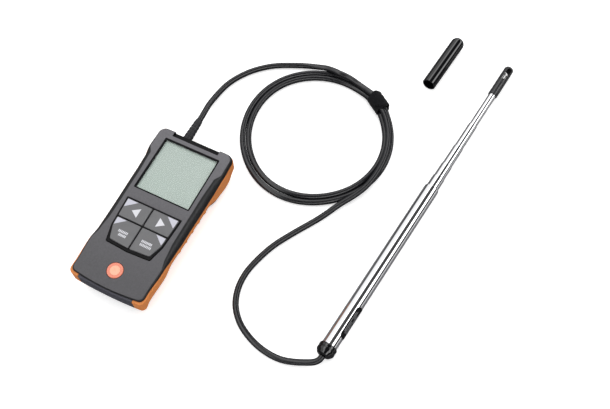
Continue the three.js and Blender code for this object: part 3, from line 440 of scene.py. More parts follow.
# Each finish: its two colours, its roughness, and what it changes of finish_look's settings.
FINISHES = {
    # The shell's extra step paints shade on its sides and light towards its top end.
    "shell_grey": ((0.058, 0.056, 0.061), (0.087, 0.085, 0.093), 0.5, dict(
        patches=800, grain=1600, depth=0.06, strength=0.8, specular=0.4, extra=painted_side_shade_and_top_light,
    )),
    "rear_grey": ((0.042, 0.042, 0.058), (0.05, 0.05, 0.066), 0.55, dict(
        patches=80, grain=3000, depth=0.03, strength=0.35,
    )),
    "grip_orange": ((0.62, 0.19, 0.036), (0.69, 0.23, 0.045), 0.55, dict(
        patches=120, grain=2400, depth=0.04, strength=0.4,
    )),
    "soft_black": ((0.003, 0.003, 0.0035), (0.005, 0.005, 0.006), 0.5, dict(
        patches=100, grain=2600, depth=0.03, specular=0.12,
    )),
    "boot_grey": ((0.018, 0.018, 0.021), (0.024, 0.024, 0.027), 0.5, dict(
        patches=100, grain=2600, depth=0.02, strength=0.2, specular=0.3,
    )),
    "key_grey": ((0.12, 0.12, 0.125), (0.135, 0.135, 0.14), 0.5, dict(
        patches=110, grain=3000, depth=0.02, strength=0.25,
    )),
    "print_white": ((0.62, 0.62, 0.66), (0.7, 0.7, 0.74), 0.45, dict(patches=300, grain=5000)),
    "print_soft": ((0.22, 0.22, 0.23), (0.27, 0.27, 0.28), 0.6, dict(
        patches=300, grain=5000, specular=0.1,
    )),
    "print_lavender": ((0.5, 0.5, 0.57), (0.55, 0.55, 0.62), 0.45, dict(patches=300, grain=5000)),
    "lcd_glass": ((0.445, 0.51, 0.478), (0.46, 0.525, 0.492), 0.4, dict(
        patches=25, grain=3800, depth=0.005, strength=0.1,
    )),
    "window_clear": ((0.97, 1.0, 0.98), (0.99, 1.0, 0.99), 0.02, dict(
        patches=20, grain=60, depth=0.0005, strength=0.02, rough_spread=0.005, Transmission_Weight=1.0,
        IOR=1.15,
    )),
    "badge_orange": ((0.7, 0.15, 0.07), (0.75, 0.18, 0.08), 0.3, dict(patches=200, grain=2500, coat=0.6)),
    "badge_amber": ((0.78, 0.36, 0.2), (0.82, 0.4, 0.24), 0.3, dict(patches=200, grain=2500, coat=0.6)),
    "board_green": ((0.012, 0.09, 0.035), (0.02, 0.12, 0.05), 0.4, dict(
        patches=260, grain=900, depth=0.03,
    )),
    "spring_steel": ((0.5, 0.5, 0.5), (0.6, 0.6, 0.6), 0.32, dict(patches=150, grain=1500, metallic=1.0)),
    "screw_steel": ((0.3, 0.3, 0.31), (0.4, 0.4, 0.41), 0.35, dict(patches=400, grain=2500, metallic=1.0)),
    "cell_sleeve": ((0.03, 0.05, 0.085), (0.035, 0.06, 0.1), 0.25, dict(
        patches=60, grain=1200, metallic=0.3, coat=0.4, extra=bare_ends,
    )),
    "cable_grey": ((0.009, 0.009, 0.011), (0.012, 0.012, 0.014), 0.25, dict(
        patches=60, grain=900, strength=0.1, rough_spread=0.04, specular=0.45,
    )),
    "strap_black": ((0.003, 0.003, 0.004), (0.009, 0.009, 0.01), 0.85, dict(
        patches=900, grain=1300, depth=0.3, strength=0.9, specular=0.1, Sheen_Weight=0.05,
    )),
    "gloss_black": ((0.002, 0.002, 0.003), (0.003, 0.003, 0.004), 0.07, dict(
        patches=90, grain=900, depth=0.004, strength=0.15, rough_spread=0.03, specular=0.65,
    )),
    "chrome": ((0.86, 0.86, 0.88), (0.9, 0.9, 0.92), 0.07, dict(
        patches=60, grain=700, depth=0.002, strength=0.1, rough_spread=0.03, metallic=1.0,
        stretch=(1, 0.05, 1),
    )),
    "brass": ((0.46, 0.27, 0.09), (0.56, 0.34, 0.12), 0.3, dict(patches=200, grain=1200, metallic=1.0)),
    "head_black": ((0.012, 0.012, 0.013), (0.018, 0.018, 0.02), 0.3, dict(
        patches=150, grain=1800, strength=0.2,
    )),
    "ceramic_white": ((0.14, 0.14, 0.135), (0.18, 0.18, 0.175), 0.5, dict(patches=500, grain=3000)),
    "label_black": ((0.004, 0.004, 0.005), (0.006, 0.006, 0.007), 0.6, dict(
        patches=120, grain=1500, strength=0.15, specular=0.1,
    )),
}


def make_looks():
    return {
        name: finish_look(name, first, second, roughness, **settings)
        for name, (first, second, roughness, settings) in FINISHES.items()
    }


# --- making meshes


def solid(name, vertices, faces):
    """A mesh object in metres, with its faces turned out."""
    mesh = bpy.data.meshes.new(name)
    mesh.from_pydata([Vector(v) * MM for v in vertices], [], faces)
    work = bmesh.new()
    work.from_mesh(mesh)
    bmesh.ops.remove_doubles(work, verts=work.verts, dist=1e-7)
    bmesh.ops.recalc_face_normals(work, faces=work.faces)
    work.to_mesh(mesh)
    work.free()
    made = bpy.data.objects.new(name, mesh)
    bpy.context.scene.collection.objects.link(made)
    return made


def loft(rings, closed=False, wrap=True, caps=2):
    """Vertices and faces of a skin over rings of points. wrap joins each ring's last point to its first."""
    count = len(rings[0])
    vertices = [tuple(point) for ring in rings for point in ring]
    faces = []
    spans = len(rings) if closed else len(rings) - 1
    for i in range(spans):
        here = i * count
        there = (i + 1) % len(rings) * count
        for j in range(count if wrap else count - 1):
            k = (j + 1) % count
            faces.append((here + j, here + k, there + k, there + j))
    if not closed and caps:
        faces.append(tuple(reversed(range(count))))
        if caps == 2:
            last = (len(rings) - 1) * count
            faces.append(tuple(range(last, last + count)))
    return vertices, faces


def skin(name, rings, **how):
    return solid(name, *loft(rings, **how))


def levels(z0, z1, low=0.0, high=0.0, steps=4):
    """(inset, z) from z0 up to z1, with the low and the high edge rounded."""
    made = [(0, z0)]
    if low:
        made = [
            (low * (1 - sin(a)), z0 + low * (1 - cos(a)))
            for a in (pi / 2 * k / steps for k in range(steps + 1))
        ]
    if not high:
        return [*made, (0, z1)]
    return made + [
        (high * (1 - cos(a)), z1 - high * (1 - sin(a)))
        for a in (pi / 2 * k / steps for k in range(steps + 1))
    ]


def slab(name, outline, heights):
    """A solid whose outline(inset) stands at each of the (inset, z) heights."""
    return skin(name, [[(x, y, z) for x, y in outline(inset)] for inset, z in heights])


def rectangle(half_x, half_y, x=0.0, y=0.0):
    corners = ((-1, -1), (1, -1), (1, 1), (-1, 1))
    return [(x + half_x * a, y + half_y * b) for a, b in corners]


def rounded_profile(points, steps=4):
    """A closed profile whose corners given as (r, y, cut) are rounded from `cut` before them to `cut` after
    them, and those given as (r, y) are kept."""
    made = []
    for i, point in enumerate(points):
        here = Vector(point[:2])
        if len(point) == 2:
            made.append(tuple(here))
            continue
        before = Vector(points[i - 1][:2])
        after = Vector(points[(i + 1) % len(points)][:2])
        start = here + (before - here).normalized() * point[2]
        end = here + (after - here).normalized() * point[2]
        for k in range(steps + 1):
            t = k / steps
            made.append(tuple(start * (1 - t) ** 2 + here * (2 * t * (1 - t)) + end * t * t))
    return made


def fillet(points, cut):
    """A closed polygon with each corner rounded alike."""
    return rounded_profile([(x, y, cut) for x, y in points])


def shrunk(points, inset):
    """A convex anticlockwise polygon with each edge moved in by `inset`."""
    made = []
    for i, point in enumerate(points):
        here = Vector(point)
        before = (here - Vector(points[i - 1])).normalized()
        after = (Vector(points[(i + 1) % len(points)]) - here).normalized()
        inward = Vector((-before.y - after.y, before.x + after.x))
        share = inward.dot(Vector((-before.y, before.x)))
        made.append(tuple(here + inward * (inset / share)))
    return made


def rounded_outline(points, cut):
    """An outline(inset) for slab: the polygon moved in, with its corners rounded."""
    return lambda inset: fillet(shrunk(points, inset), max(cut - inset * 0.6, cut * 0.3))


def block(name, x0, x1, y0, y1, z0, z1, edge=0.0):
    outline = rectangle((x1 - x0) / 2, (y1 - y0) / 2, (x0 + x1) / 2, (y0 + y1) / 2)
    if not edge:
        return slab(name, lambda inset: outline, levels(z0, z1))
    return slab(name, rounded_outline(outline, edge), levels(z0, z1, edge, edge))


def turned(name, profile, place=Matrix.Identity(4), segments=64, ring=False):
    """A solid turned round its own Y axis from (radius, y) points. A ring's profile closes on itself."""
    rings = []
    for i in range(segments):
        angle = 2 * pi * i / segments
        rings.append([place @ Vector((r * sin(angle), y, r * cos(angle))) for r, y in profile])
    return skin(name, rings, closed=True, wrap=ring)


def circle(x, y, radius, steps):
    angles = [2 * pi * i / steps for i in range(steps)]
    return [(x + radius * cos(a), y + radius * sin(a)) for a in angles]


def post(x, y, radius, z0, z1):
    return slab("tool", lambda inset: circle(x, y, radius, 32), levels(z0, z1))


def dome(radius, base, height, steps):
    """Profile points from just above the base up to the top of a dome, which is on the axis."""
    angles = [pi / 2 * i / steps for i in range(1, steps)]
    return [(radius * cos(a), base + height * sin(a)) for a in angles] + [(0, base + height)]


def combine(piece, tools, operation="DIFFERENCE"):
    """Cuts the tools from the piece, or joins them to it, and removes the tools."""
    for tool in tools:
        step = piece.modifiers.new("combine", "BOOLEAN")
        step.operation = operation
        step.solver = "EXACT"
        step.object = tool
    evaluated = piece.evaluated_get(bpy.context.evaluated_depsgraph_get())
    mesh = bpy.data.meshes.new_from_object(evaluated)
    piece.modifiers.clear()
    before = piece.data
    piece.data = mesh
    bpy.data.meshes.remove(before)
    for tool in tools:
        bpy.data.objects.remove(tool)
    return piece


def dress(piece, look, replaced=(), body="instrument", sharp=40.0):
    """Gives a piece its finish and smooth shading, hangs it on the body it rides on, and hides the parts it
    stands for.
    """
    piece.data.materials.clear()
    piece.data.materials.append(LOOKS[look])
    work = bmesh.new()
    work.from_mesh(piece.data)
    for face in work.faces:
        face.smooth = True
    for edge in work.edges:
        if len(edge.link_faces) == 2:
            edge.smooth = edge.calc_face_angle(0) < radians(sharp)
    work.to_mesh(piece.data)
    work.free()
    normals = piece.modifiers.new("normals", "WEIGHTED_NORMAL")
    normals.keep_sharp = True
    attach(piece, body)
    if replaced:
        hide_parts(*replaced)
    return piece


def smooth_step(value, low, high):
    t = min(max((value - low) / (high - low), 0), 1)
    return t * t * (3 - 2 * t)


# --- outlines of the housing and the keypad


def along(stations, y):
    """The value at y, joined smoothly from station to station."""
    if y <= stations[0][0]:
        return stations[0][1]
    for (y0, w0), (y1, w1) in zip(stations, stations[1:]):
        if y <= y1:
            return w0 + (w1 - w0) * smooth_step(y, y0, y1)
    return stations[-1][1]


def part_height(y):
    return along(PART_HEIGHTS, y)


def wide_height(y):
    return along(WIDE_HEIGHTS, y)


def arc(x, y, radius, start, steps):
    angles = [radians(start + 90 * i / steps) for i in range(steps + 1)]
    return [(x + radius * cos(a), y + radius * sin(a)) for a in angles]


def outline(line, inset=0.0, edge_steps=14, side_steps=300):
    """A line of the housing, set in by `inset`: its right side from the bottom up, then its left side."""
    low = line["bottom"] + inset
    high = line["top"] - inset
    low_corner = max(line["bottom_corner"] - inset, 1)
    high_corner = max(line["top_corner"] - inset, 1)
    low_half = along(line["halves"], low + low_corner) - inset
    high_half = along(line["halves"], high - high_corner) - inset
    right = [((low_half - low_corner) * i / edge_steps, low) for i in range(edge_steps)]
    right += arc(low_half - low_corner, low + low_corner, low_corner, -90, 8)
    span = high - high_corner - low - low_corner
    for i in range(1, side_steps):
        y = low + low_corner + span * i / side_steps
        right.append((along(line["halves"], y) - inset, y))
    right += arc(high_half - high_corner, high - high_corner, high_corner, 0, 10)
    right.append((0, high))
    bulged = []
    for x, y in right:
        if y < low + low_corner:
            y -= line["bulge"] * (1 - (x / low_half) ** 2)
        elif y > high - high_corner:
            y += TOP_BULGE * (1 - (x / high_half) ** 2)
        bulged.append((x, y))
    return bulged + [(-x, y) for x, y in reversed(bulged[1:-1])]


def ring_at(line, inset, height):
    """The same line at a height, which is a number or a function of y."""
    return [(x, y, height(y) if callable(height) else height) for x, y in outline(line, inset)]


def rings_at(*rows):
    return [ring_at(*row) for row in rows]


def pad_outline(inset):
    top = PAD_TOP_Y - inset
    right = [
        (0, PAD_POINT_Y + inset), (PAD_BOTTOM_HALF - inset * 0.8, PAD_BOTTOM_Y + inset),
        (PAD_SIDE_HALF - inset, PAD_SIDE_Y + inset * 0.3), (PAD_TOP_HALF - inset, top),
    ]
    return right + [(-x, y) for x, y in reversed(right[1:])]


def key_outline(column, row):
    """One key's outline: its quarter of the keypad inside the black border."""
    half = KEY_GAP / 2

    def side_at(y):
        share = (y - PAD_SIDE_Y) / (PAD_TOP_Y - PAD_SIDE_Y)
        return PAD_SIDE_HALF + (PAD_TOP_HALF - PAD_SIDE_HALF) * share - KEY_BORDER

    top = PAD_TOP_Y - KEY_BORDER if row == 0 else KEY_ROW_Y - half
    if row == 0:
        bottom = KEY_ROW_Y + half
        points = [(half, bottom), (side_at(bottom), bottom), (side_at(top), top), (half, top)]
    else:
        points = [
            (half, PAD_POINT_Y + 2.4), (PAD_BOTTOM_HALF - 1.6, PAD_BOTTOM_Y + 2.4),
            (side_at(PAD_SIDE_Y), PAD_SIDE_Y + 0.4), (side_at(top), top), (half, top),
        ]
    return points if column > 0 else [(-x, y) for x, y in reversed(points)]


# --- cable


def polar(angle, radius, z):
    a = radians(angle)
    return (COIL_CENTRE[0] + radius * cos(a), COIL_CENTRE[1] + radius * sin(a), z)


def hump(turning, height, middle, half):
    """The height at one angle, falling smoothly to 0 on both sides of it."""
    away = abs((turning - middle + 180) % 360 - 180)
    return height * cos(radians(min(away / half, 1) * 90)) ** 2


def coil_point(turning):
    """The cable at an angle that runs on through the turns. At each pass under the tie the three
    strands change places, top to outer, outer to inner and inner to top, and rise off the strap."""
    places = 0.0
    for k in range(3):
        tie = TIE_ANGLE - 360 * k
        places += smooth_step(-turning, -tie - 13, -tie + 13)
    roll = radians(90 - 120 * places)
    outer = max(cos(roll), 0) * hump(turning, *LOOSE_OUTER)
    pulled = hump(turning, *PULLED_OUT) - hump(turning, *PULLED_IN)
    radius = COIL_MIDDLE + BUNDLE * cos(roll) + outer + pulled
    centre = CABLE_Z + BUNDLE / 2 + hump(turning, TIE_LIFT, TIE_ANGLE, TIE_LIFT_HALF)
    return polar(turning, radius, centre + BUNDLE * sin(roll))


def catmull_rom(points, steps):
    """A smooth curve through the points, which are unevenly spaced."""
    ends = [2 * points[0] - points[1], *points, 2 * points[-1] - points[-2]]
    made = []
    for a, b, c, d in zip(ends, ends[1:], ends[2:], ends[3:]):
        t1 = (b - a).length ** 0.5
        t2 = t1 + (c - b).length ** 0.5
        t3 = t2 + (d - c).length ** 0.5
        for k in range(steps):
            t = t1 + (t2 - t1) * k / steps
            p = a + (b - a) * (t / t1)
            q = b + (c - b) * ((t - t1) / (t2 - t1))
            r = c + (d - c) * ((t - t2) / (t3 - t2))
            pq = p + (q - p) * (t / t2)
            qr = q + (r - q) * ((t - t1) / (t3 - t1))
            made.append(pq + (qr - pq) * ((t - t1) / (t2 - t1)))
    return [*made, points[-1]]


def make_cable():
    """The whole cable on one line: the lead from the meter, two turns, and the lead to the probe."""
    start = 72
    step = 4.5
    count = round((start - (27 - 720)) / step)
    turns = [coil_point(start - step * i) for i in range(count + 1)]
    route = [Vector(p) for p in [*METER_LEAD, *turns, *PROBE_LEAD]]
    line = [p * MM for p in catmull_rom(route, 5)]
    curve = bpy.data.curves.new("cable", "CURVE")
    curve.dimensions = "3D"
    curve.bevel_depth = CABLE / 2 * MM
    curve.bevel_resolution = 5
    curve.use_fill_caps = True
    spline = curve.splines.new("POLY")
    spline.points.add(len(line) - 1)
    for point, at in zip(spline.points, line):
        point.co = (*at, 1)
    spline.use_smooth = True
    cable = bpy.data.objects.new("cable", curve)
    curve.materials.append(LOOKS["cable_grey"])
    bpy.context.scene.collection.objects.link(cable)
    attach(cable, "instrument")
    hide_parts("cable_lead_meter", "cable_coil", "cable_lead_probe")
    length = sum((b - a).length for a, b in zip(line, line[1:]))
    return cable, length


def make_tie():
    """A hook-and-loop strap wound once round the three strands, with its free end lapped over."""
    inner = BUNDLE + CABLE / 2 + 0.15
    centre_z = TIE_THICKNESS + inner
    outward = Vector((cos(radians(TIE_ANGLE)), sin(radians(TIE_ANGLE)), 0))
    along_cable = Vector((-outward.y, outward.x, 0))
    middle = Vector(polar(TIE_ANGLE, COIL_MIDDLE, centre_z))
    lap_start, lap_end = 395, 505
    steps = 130
    across = 24
    rings = []
    for i in range(steps + 1):
        angle = 40 + (lap_end - 40) * i / steps
        lapped = smooth_step(angle, lap_start - 35, lap_start + 3)
        over = (TIE_THICKNESS + 0.12) * lapped + 1.1 * smooth_step(angle, lap_end - 40, lap_end) ** 2
        narrow = 1 - 0.3 * smooth_step(angle, lap_end - 70, lap_end) - 0.06 * sin(radians(angle * 3))
        skew = 1.3 * lapped * smooth_step(angle, lap_start, lap_end)
        a = radians(angle)
        out = outward * cos(a) + Vector((0, 0, sin(a)))
        ring = []
        for k in range(2 * across):
            outer = k < across
            share = k / (across - 1) if outer else (2 * across - 1 - k) / (across - 1)
            w = (share - 0.5) * TIE_WIDTH * narrow * (0.985 if outer else 0.97)
            ripple = 0.16 * sin(w * 1.3 + angle * 0.11) + 0.1 * sin(w * 2.9 - angle * 0.23)
            edge = min(share, 1 - share) * (across - 1)
            lift = TIE_THICKNESS - (0.25 if edge < 0.5 else 0.0) + 0.6 * ripple if outer else 0.0
            ring.append(middle + out * (inner + over + max(lift, 0.35) * outer) + along_cable * (w + skew))
        rings.append(ring)
    tie = skin("cable_tie_strap", rings)
    return dress(tie, "strap_black", ["cable_tie"], sharp=50)


def make_boot():
    """The cable's strain relief: a flange held by the panel, and a tapered sleeve with grooves."""
    y = PANEL_END_Y + GAP
    behind = PANEL_FRONT_Y - GAP
    back = behind - 2.6
    profile = [(0, back), (4.2, back, 0.3), (4.2, behind, 0.3), (2.6, behind), (2.6, y), (4.1, y, 0.25)]
    rings = 6
    first, last = y + 2.6, BOOT_TIP_Y - 3.2
    for i in range(rings):
        low = first + (last - first) * i / rings
        high = low + (last - first) / rings
        radius = 4 - 0.95 * (low - y) / (BOOT_TIP_Y - y)
        profile += [(radius, low, 0.2), (radius - 0.35, low + 0.5, 0.2), (radius - 0.4, low + 1.1, 0.2)]
        profile += [(radius - 0.1, low + 1.6, 0.2)]
        profile += [(radius - 0.12, high - 0.5)]
    profile += [(3, BOOT_TIP_Y - 2), (2.8, BOOT_TIP_Y, 0.4), (0, BOOT_TIP_Y)]
    place = Matrix.Translation((BOOT_X, 0, BOOT_Z))
    boot = turned("cable_boot_sleeve", rounded_profile(profile, 3), place, 48)
    return dress(boot, "boot_grey", ["cable_boot"])


# --- housing


def above_parting(offset):
    """A tool that takes everything above the parting line, which curves along the meter only."""
    profile = [(90, 60), (-90, 60)] + [(y, part_height(y) + offset) for y in range(-90, 91)]
    return skin("tool", [[(x, y, z) for y, z in profile] for x in (-60, 60)])


def make_front_shell():
    low = outline(PART_LINE)
    high = outline(FACE_LINE)
    rings = [ring_at(PART_LINE, 0, lambda y: part_height(y) - 1)]
    steps = 12
    for k in range(steps + 1):
        angle = pi / 2 * k / steps
        reach = 1 - cos(angle)
        ring = []
        for (x, y), (x1, y1) in zip(low, high):
            base = part_height(y) + SLIT
            z = base + (FACE_Z - base) * sin(angle)
            ring.append((x + (x1 - x) * reach, y + (y1 - y) * reach, z))
        rings.append(ring)
    shell = combine(skin("front_cover", rings), [above_parting(SLIT)], "INTERSECT")
    hollow = rings_at(
        (PART_LINE, WALL, SPLIT_Z), (PART_LINE, WALL, part_height),
        (FACE_LINE, WALL / 2, FACE_Z - FACE_THICKNESS),
    )
    frame_edge = GASKET_WIDTH + 0.25
    middle_y = (WINDOW_LOW_Y + WINDOW_HIGH_Y) / 2
    display = rectangle(
        WINDOW_HALF_X + frame_edge, (WINDOW_HIGH_Y - WINDOW_LOW_Y) / 2 + frame_edge, 0, middle_y
    )
    flare = [(0, 15), (0, FACE_Z - 0.35), (-0.12, FACE_Z - 0.1), (-0.4, FACE_Z + 0.05), (-0.4, 32)]
    ledge = PANEL_HALF + GAP
    badge_cut = [(0, FACE_Z - 1), *flare[1:]]
    badge = lambda inset: circle(0, BADGE_Y, BADGE_RADIUS + 0.15 - inset, 64)
    tools = [
        skin("tool", hollow),
        slab("tool", rounded_outline(display, 0.8), flare),
        slab("tool", lambda inset: fillet(pad_outline(inset - GAP), 0.9), flare),
        slab("tool", badge, badge_cut),
        block("tool", -ledge, ledge, PANEL_FRONT_Y - GAP, 80, 0, 40),
    ]
    return dress(combine(shell, tools), "shell_grey", ["front_shell"])


def rib_height(y, z):
    """How far the grip's ribs stand out at a place on its side."""
    nearest = round((RIB_FIRST_Y - y) / RIB_PITCH)
    if not 0 <= nearest < RIB_COUNT:
        return 0.0
    away = abs(y - (RIB_FIRST_Y - nearest * RIB_PITCH)) / 1.3
    if away >= 1:
        return 0.0
    low = smooth_step(z, RIB_LOW, RIB_LOW + 1)
    return RIB_PROUD * sqrt(1 - away ** 2) * low * (1 - smooth_step(z, RIB_HIGH - 1, RIB_HIGH))


def side_rings(ribs=False):
    """The sides from their lowest widest place up past the parting line, with a rounded edge there."""
    top = lambda y: part_height(y) - SLIT
    rings = []
    for share in (0, 0.06, 0.12, 0.2, 0.3, 0.4, 0.5, 0.6, 0.7, 0.8, 0.88, 0.94, 1):
        rings.append(ring_at(
            WIDE_LINE, 0, lambda y: wide_height(y) + (top(y) - GRIP_EDGE - wide_height(y)) * share
        ))
    if ribs:
        rings = [[(x + copysign(rib_height(y, z), x), y, z) for x, y, z in ring] for ring in rings]
    for k in range(1, 6):
        a = pi / 2 * k / 5
        rings.append(ring_at(
            WIDE_LINE, GRIP_EDGE * (1 - cos(a)), lambda y: top(y) - GRIP_EDGE * (1 - sin(a))
        ))
    return rings + [ring_at(WIDE_LINE, GRIP_EDGE, ABOVE_PART)]


def make_rear_shell():
    core = rings_at(
        (BACK_LINE, BACK_EDGE, 0), (BACK_LINE, BACK_EDGE * 0.3, FOOT_Z * 0.3), (BACK_LINE, 0, FOOT_Z),
        (BACK_LINE, 0, FOOT_Z + 0.1), (BACK_LINE, UNDER_GRIP, GRIP_LOW - 0.1),
        (WIDE_LINE, UNDER_GRIP, wide_height), (WIDE_LINE, UNDER_GRIP, ABOVE_PART),
    )
    shell = skin("rear_cover", core)
    ends = skin("tool", [*core[:3], *side_rings()])
    middle = GRIP_END_X - GAP
    combine(ends, [block("tool", -middle, middle, -90, 90, -5, 40)], "INTERSECT")
    combine(shell, [ends], "UNION")
    inside = UNDER_GRIP + WALL
    hollow = rings_at(
        (BACK_LINE, inside + 0.4, FLOOR_THICKNESS), (WIDE_LINE, inside, wide_height),
        (WIDE_LINE, inside, OPEN_TOP),
    )
    panel = PANEL_HALF + GAP
    tools = [
        above_parting(-SLIT),
        skin("tool", hollow),
        slanted_plate(COVER_LOW_HALF + 0.2, COVER_HIGH_HALF + 0.5, -0.2, 2.2, -80, COVER_INNER_Y + GAP),
        block("tool", -panel, panel, 60, 80, PANEL_LOW - GAP, 40),
    ]
    combine(shell, tools)
    wall_y = COVER_INNER_Y + 0.7
    inner = [block("tool", -22, 22, wall_y, wall_y + 1.6, 1, SPLIT_Z)]
    inner += [post(x, y, BOSS_RADIUS, 0.5 if y > 0 else 2.6, SPLIT_Z - SLIT) for x, y, _ in SCREWS]
    combine(shell, inner, "UNION")
    sinks = [post(x, y, SCREW_HEAD_RADIUS + 0.2, -1, head + 0.3) for x, y, head in SCREWS]
    return dress(combine(shell, sinks), "rear_grey", ["rear_shell"])


def slanted_plate(low_half, high_half, z0, z1, y0, y1):
    section = [(-low_half, z0), (low_half, z0), (high_half, z1), (-high_half, z1)]
    return skin("slanted_plate", [[(x, y, z) for x, z in section] for y in (y0, y1)])


def make_grip(name, side, node_name):
    """A ribbed skin over the rear shell's side, round both of its corners. `side` is -1 or 1."""
    low = GRIP_LOW
    rings = rings_at((BACK_LINE, 0.5, low), (BACK_LINE, 0.12, low + 0.15), (BACK_LINE, 0, low + 0.5))
    grip = skin(name, rings + side_rings(True))
    half = block("tool", *sorted((side * GRIP_END_X, side * 50)), -90, 90, 0, OPEN_TOP)
    combine(grip, [half], "INTERSECT")
    inner = rings_at(
        (BACK_LINE, GRIP_THICKNESS, low - 0.4), (BACK_LINE, GRIP_THICKNESS, low),
        (WIDE_LINE, GRIP_THICKNESS, wide_height), (WIDE_LINE, GRIP_THICKNESS, OPEN_TOP),
    )
    combine(grip, [skin("tool", inner), above_parting(-SLIT)])
    return dress(grip, "grip_orange", [node_name], sharp=45)


def make_battery_cover():
    cover = slanted_plate(
        COVER_LOW_HALF, COVER_HIGH_HALF, COVER_LIFT, COVER_THICKNESS, COVER_OUTER_Y, COVER_INNER_Y
    )
    cover.name = "battery_door"
    grooves = []
    for i in range(5):
        y = -57 + 2.2 * i
        section = [(y - 0.6, -0.5), (y + 0.6, -0.5), (y + 0.35, 0.55), (y, 0.68), (y - 0.35, 0.55)]
        grooves.append(skin("tool", [[(x, a, z) for a, z in section] for x in (-8 + 0.3 * i, 8 - 0.3 * i)]))
    combine(cover, grooves)
    bevel = cover.modifiers.new("edge", "BEVEL")
    bevel.width = 0.15 * MM
    bevel.segments = 2
    bevel.limit_method = "ANGLE"
    return dress(cover, "rear_grey", ["battery_cover"], "battery_door")


def make_top_panel():
    panel = block(
        "connector_panel", -PANEL_HALF, PANEL_HALF, PANEL_FRONT_Y, PANEL_END_Y, PANEL_LOW, PANEL_HIGH, 0.6
    )
    at = Matrix.Translation((BOOT_X, 0, BOOT_Z))
    bore = turned("tool", [(0, 55), (BOOT_BORE, 55), (BOOT_BORE, 80), (0, 80)], at)
    return dress(combine(panel, [bore]), "soft_black", ["top_panel"])


def make_screw(index, x, y, head):
    """A pan-head screw with a cross recess, pointing up into the housing."""
    base = head - SCREW_HEAD_HEIGHT
    profile = [
        (0, 0), (SCREW_HEAD_RADIUS, 0, 0.4), (SCREW_HEAD_RADIUS, SCREW_HEAD_HEIGHT - 0.4, 0.2),
        (SCREW_RADIUS, SCREW_HEAD_HEIGHT),
        (SCREW_RADIUS, SCREW_LENGTH - 1), (0, SCREW_LENGTH),
    ]
    place = Matrix.Translation((x, y, base)) @ Matrix.Rotation(pi / 2, 4, "X")
    screw = turned(f"screw_{index}", rounded_profile(profile, 3), place, 32)
    cross = [
        block("tool", x - 1.3, x + 1.3, y - 0.25, y + 0.25, base - 1, base + 0.9),
        block("tool", x - 0.25, x + 0.25, y - 1.3, y + 1.3, base - 1, base + 0.9),
    ]
    return dress(combine(screw, cross), "screw_steel", [f"housing_screw_{index}"])


# --- display and keys


def make_display():
    middle = (WINDOW_LOW_Y + WINDOW_HIGH_Y) / 2
    half_y = (WINDOW_HIGH_Y - WINDOW_LOW_Y) / 2
    z0, z1 = (corner[2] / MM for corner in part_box("display_gasket"))
    outer = rounded_outline(rectangle(WINDOW_HALF_X + GASKET_WIDTH, half_y + GASKET_WIDTH, 0, middle), 0.9)
    inner = rounded_outline(rectangle(WINDOW_HALF_X, half_y, 0, middle), 0.5)
    heights = [
        (outer(0), z0), (outer(0), z1 - 0.25), (outer(0.08), z1 - 0.07), (outer(0.25), z1),
        (inner(-0.25), z1), (inner(-0.08), z1 - 0.07), (inner(0), z1 - 0.25), (inner(0), z0),
    ]
    ring = skin("display_seal", [[(x, y, z) for x, y in line] for line, z in heights], closed=True)
    dress(ring, "soft_black", ["display_gasket"])
    pane_heights = [corner[2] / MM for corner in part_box("display_window")]
    pane_outline = rounded_outline(rectangle(WINDOW_HALF_X - 0.15, half_y - 0.15, 0, middle), 0.5)
    pane = slab("display_pane", pane_outline, levels(*pane_heights, 0.1, 0.2, 3))
    dress(pane, "window_clear", ["display_window"])


KEYS = [
    ("key_left", "left_key", -1, 0), ("key_right", "right_key", 1, 0),
    ("key_mode", "mode_key", -1, 1), ("key_menu", "menu_key", 1, 1),
]


def make_keypad():
    pad_heights = levels(KEY_BOTTOM + 0.8, PAD_TOP, 0, 0.3)
    pad = slab("key_surround", lambda inset: fillet(pad_outline(inset), 0.7), pad_heights)
    tools = []
    for _, _, column, row in KEYS:
        outline = shrunk(key_outline(column, row), -KEY_SLIT)
        tools.append(slab("tool", rounded_outline(outline, 0.8), [(0, 20), (0, 30)]))
    dress(combine(pad, tools), "soft_black", ["keypad_frame"])
    for node_name, body, column, row in KEYS:
        cap = slab(
            node_name + "_cap", rounded_outline(key_outline(column, row), 0.8),
            levels(KEY_BOTTOM, KEY_TOP, 0.2, 0.45),
        )
        dress(cap, "key_grey", [node_name], body)


# Rows of strokes on the lower keys, in place of words: key, body, row, and where the row starts and ends.
STROKE_ROWS = [
    ("mode", "mode_key", 1, -14.6, -6.3), ("mode", "mode_key", 2, -12.9, -6.5),
    ("menu", "menu_key", 1, 5.4, 14.4), ("menu", "menu_key", 2, 5.5, 15.1),
]
STROKE_PITCH = 1.15
STROKE_HALF = (0.36, 1.02)
STROKES_FROM_Y = -24.2
STROKE_ROW_PITCH = 2.8


def printed(name, points, body, look="print_white"):
    """A thin raised print on a key's top."""
    outline = rounded_outline(points, 0.15)
    mark = slab(name, outline, [(0, KEY_TOP - 0.02), (0, KEY_TOP + 0.03), (0.05, KEY_TOP + 0.05)])
    return dress(mark, look, body=body)


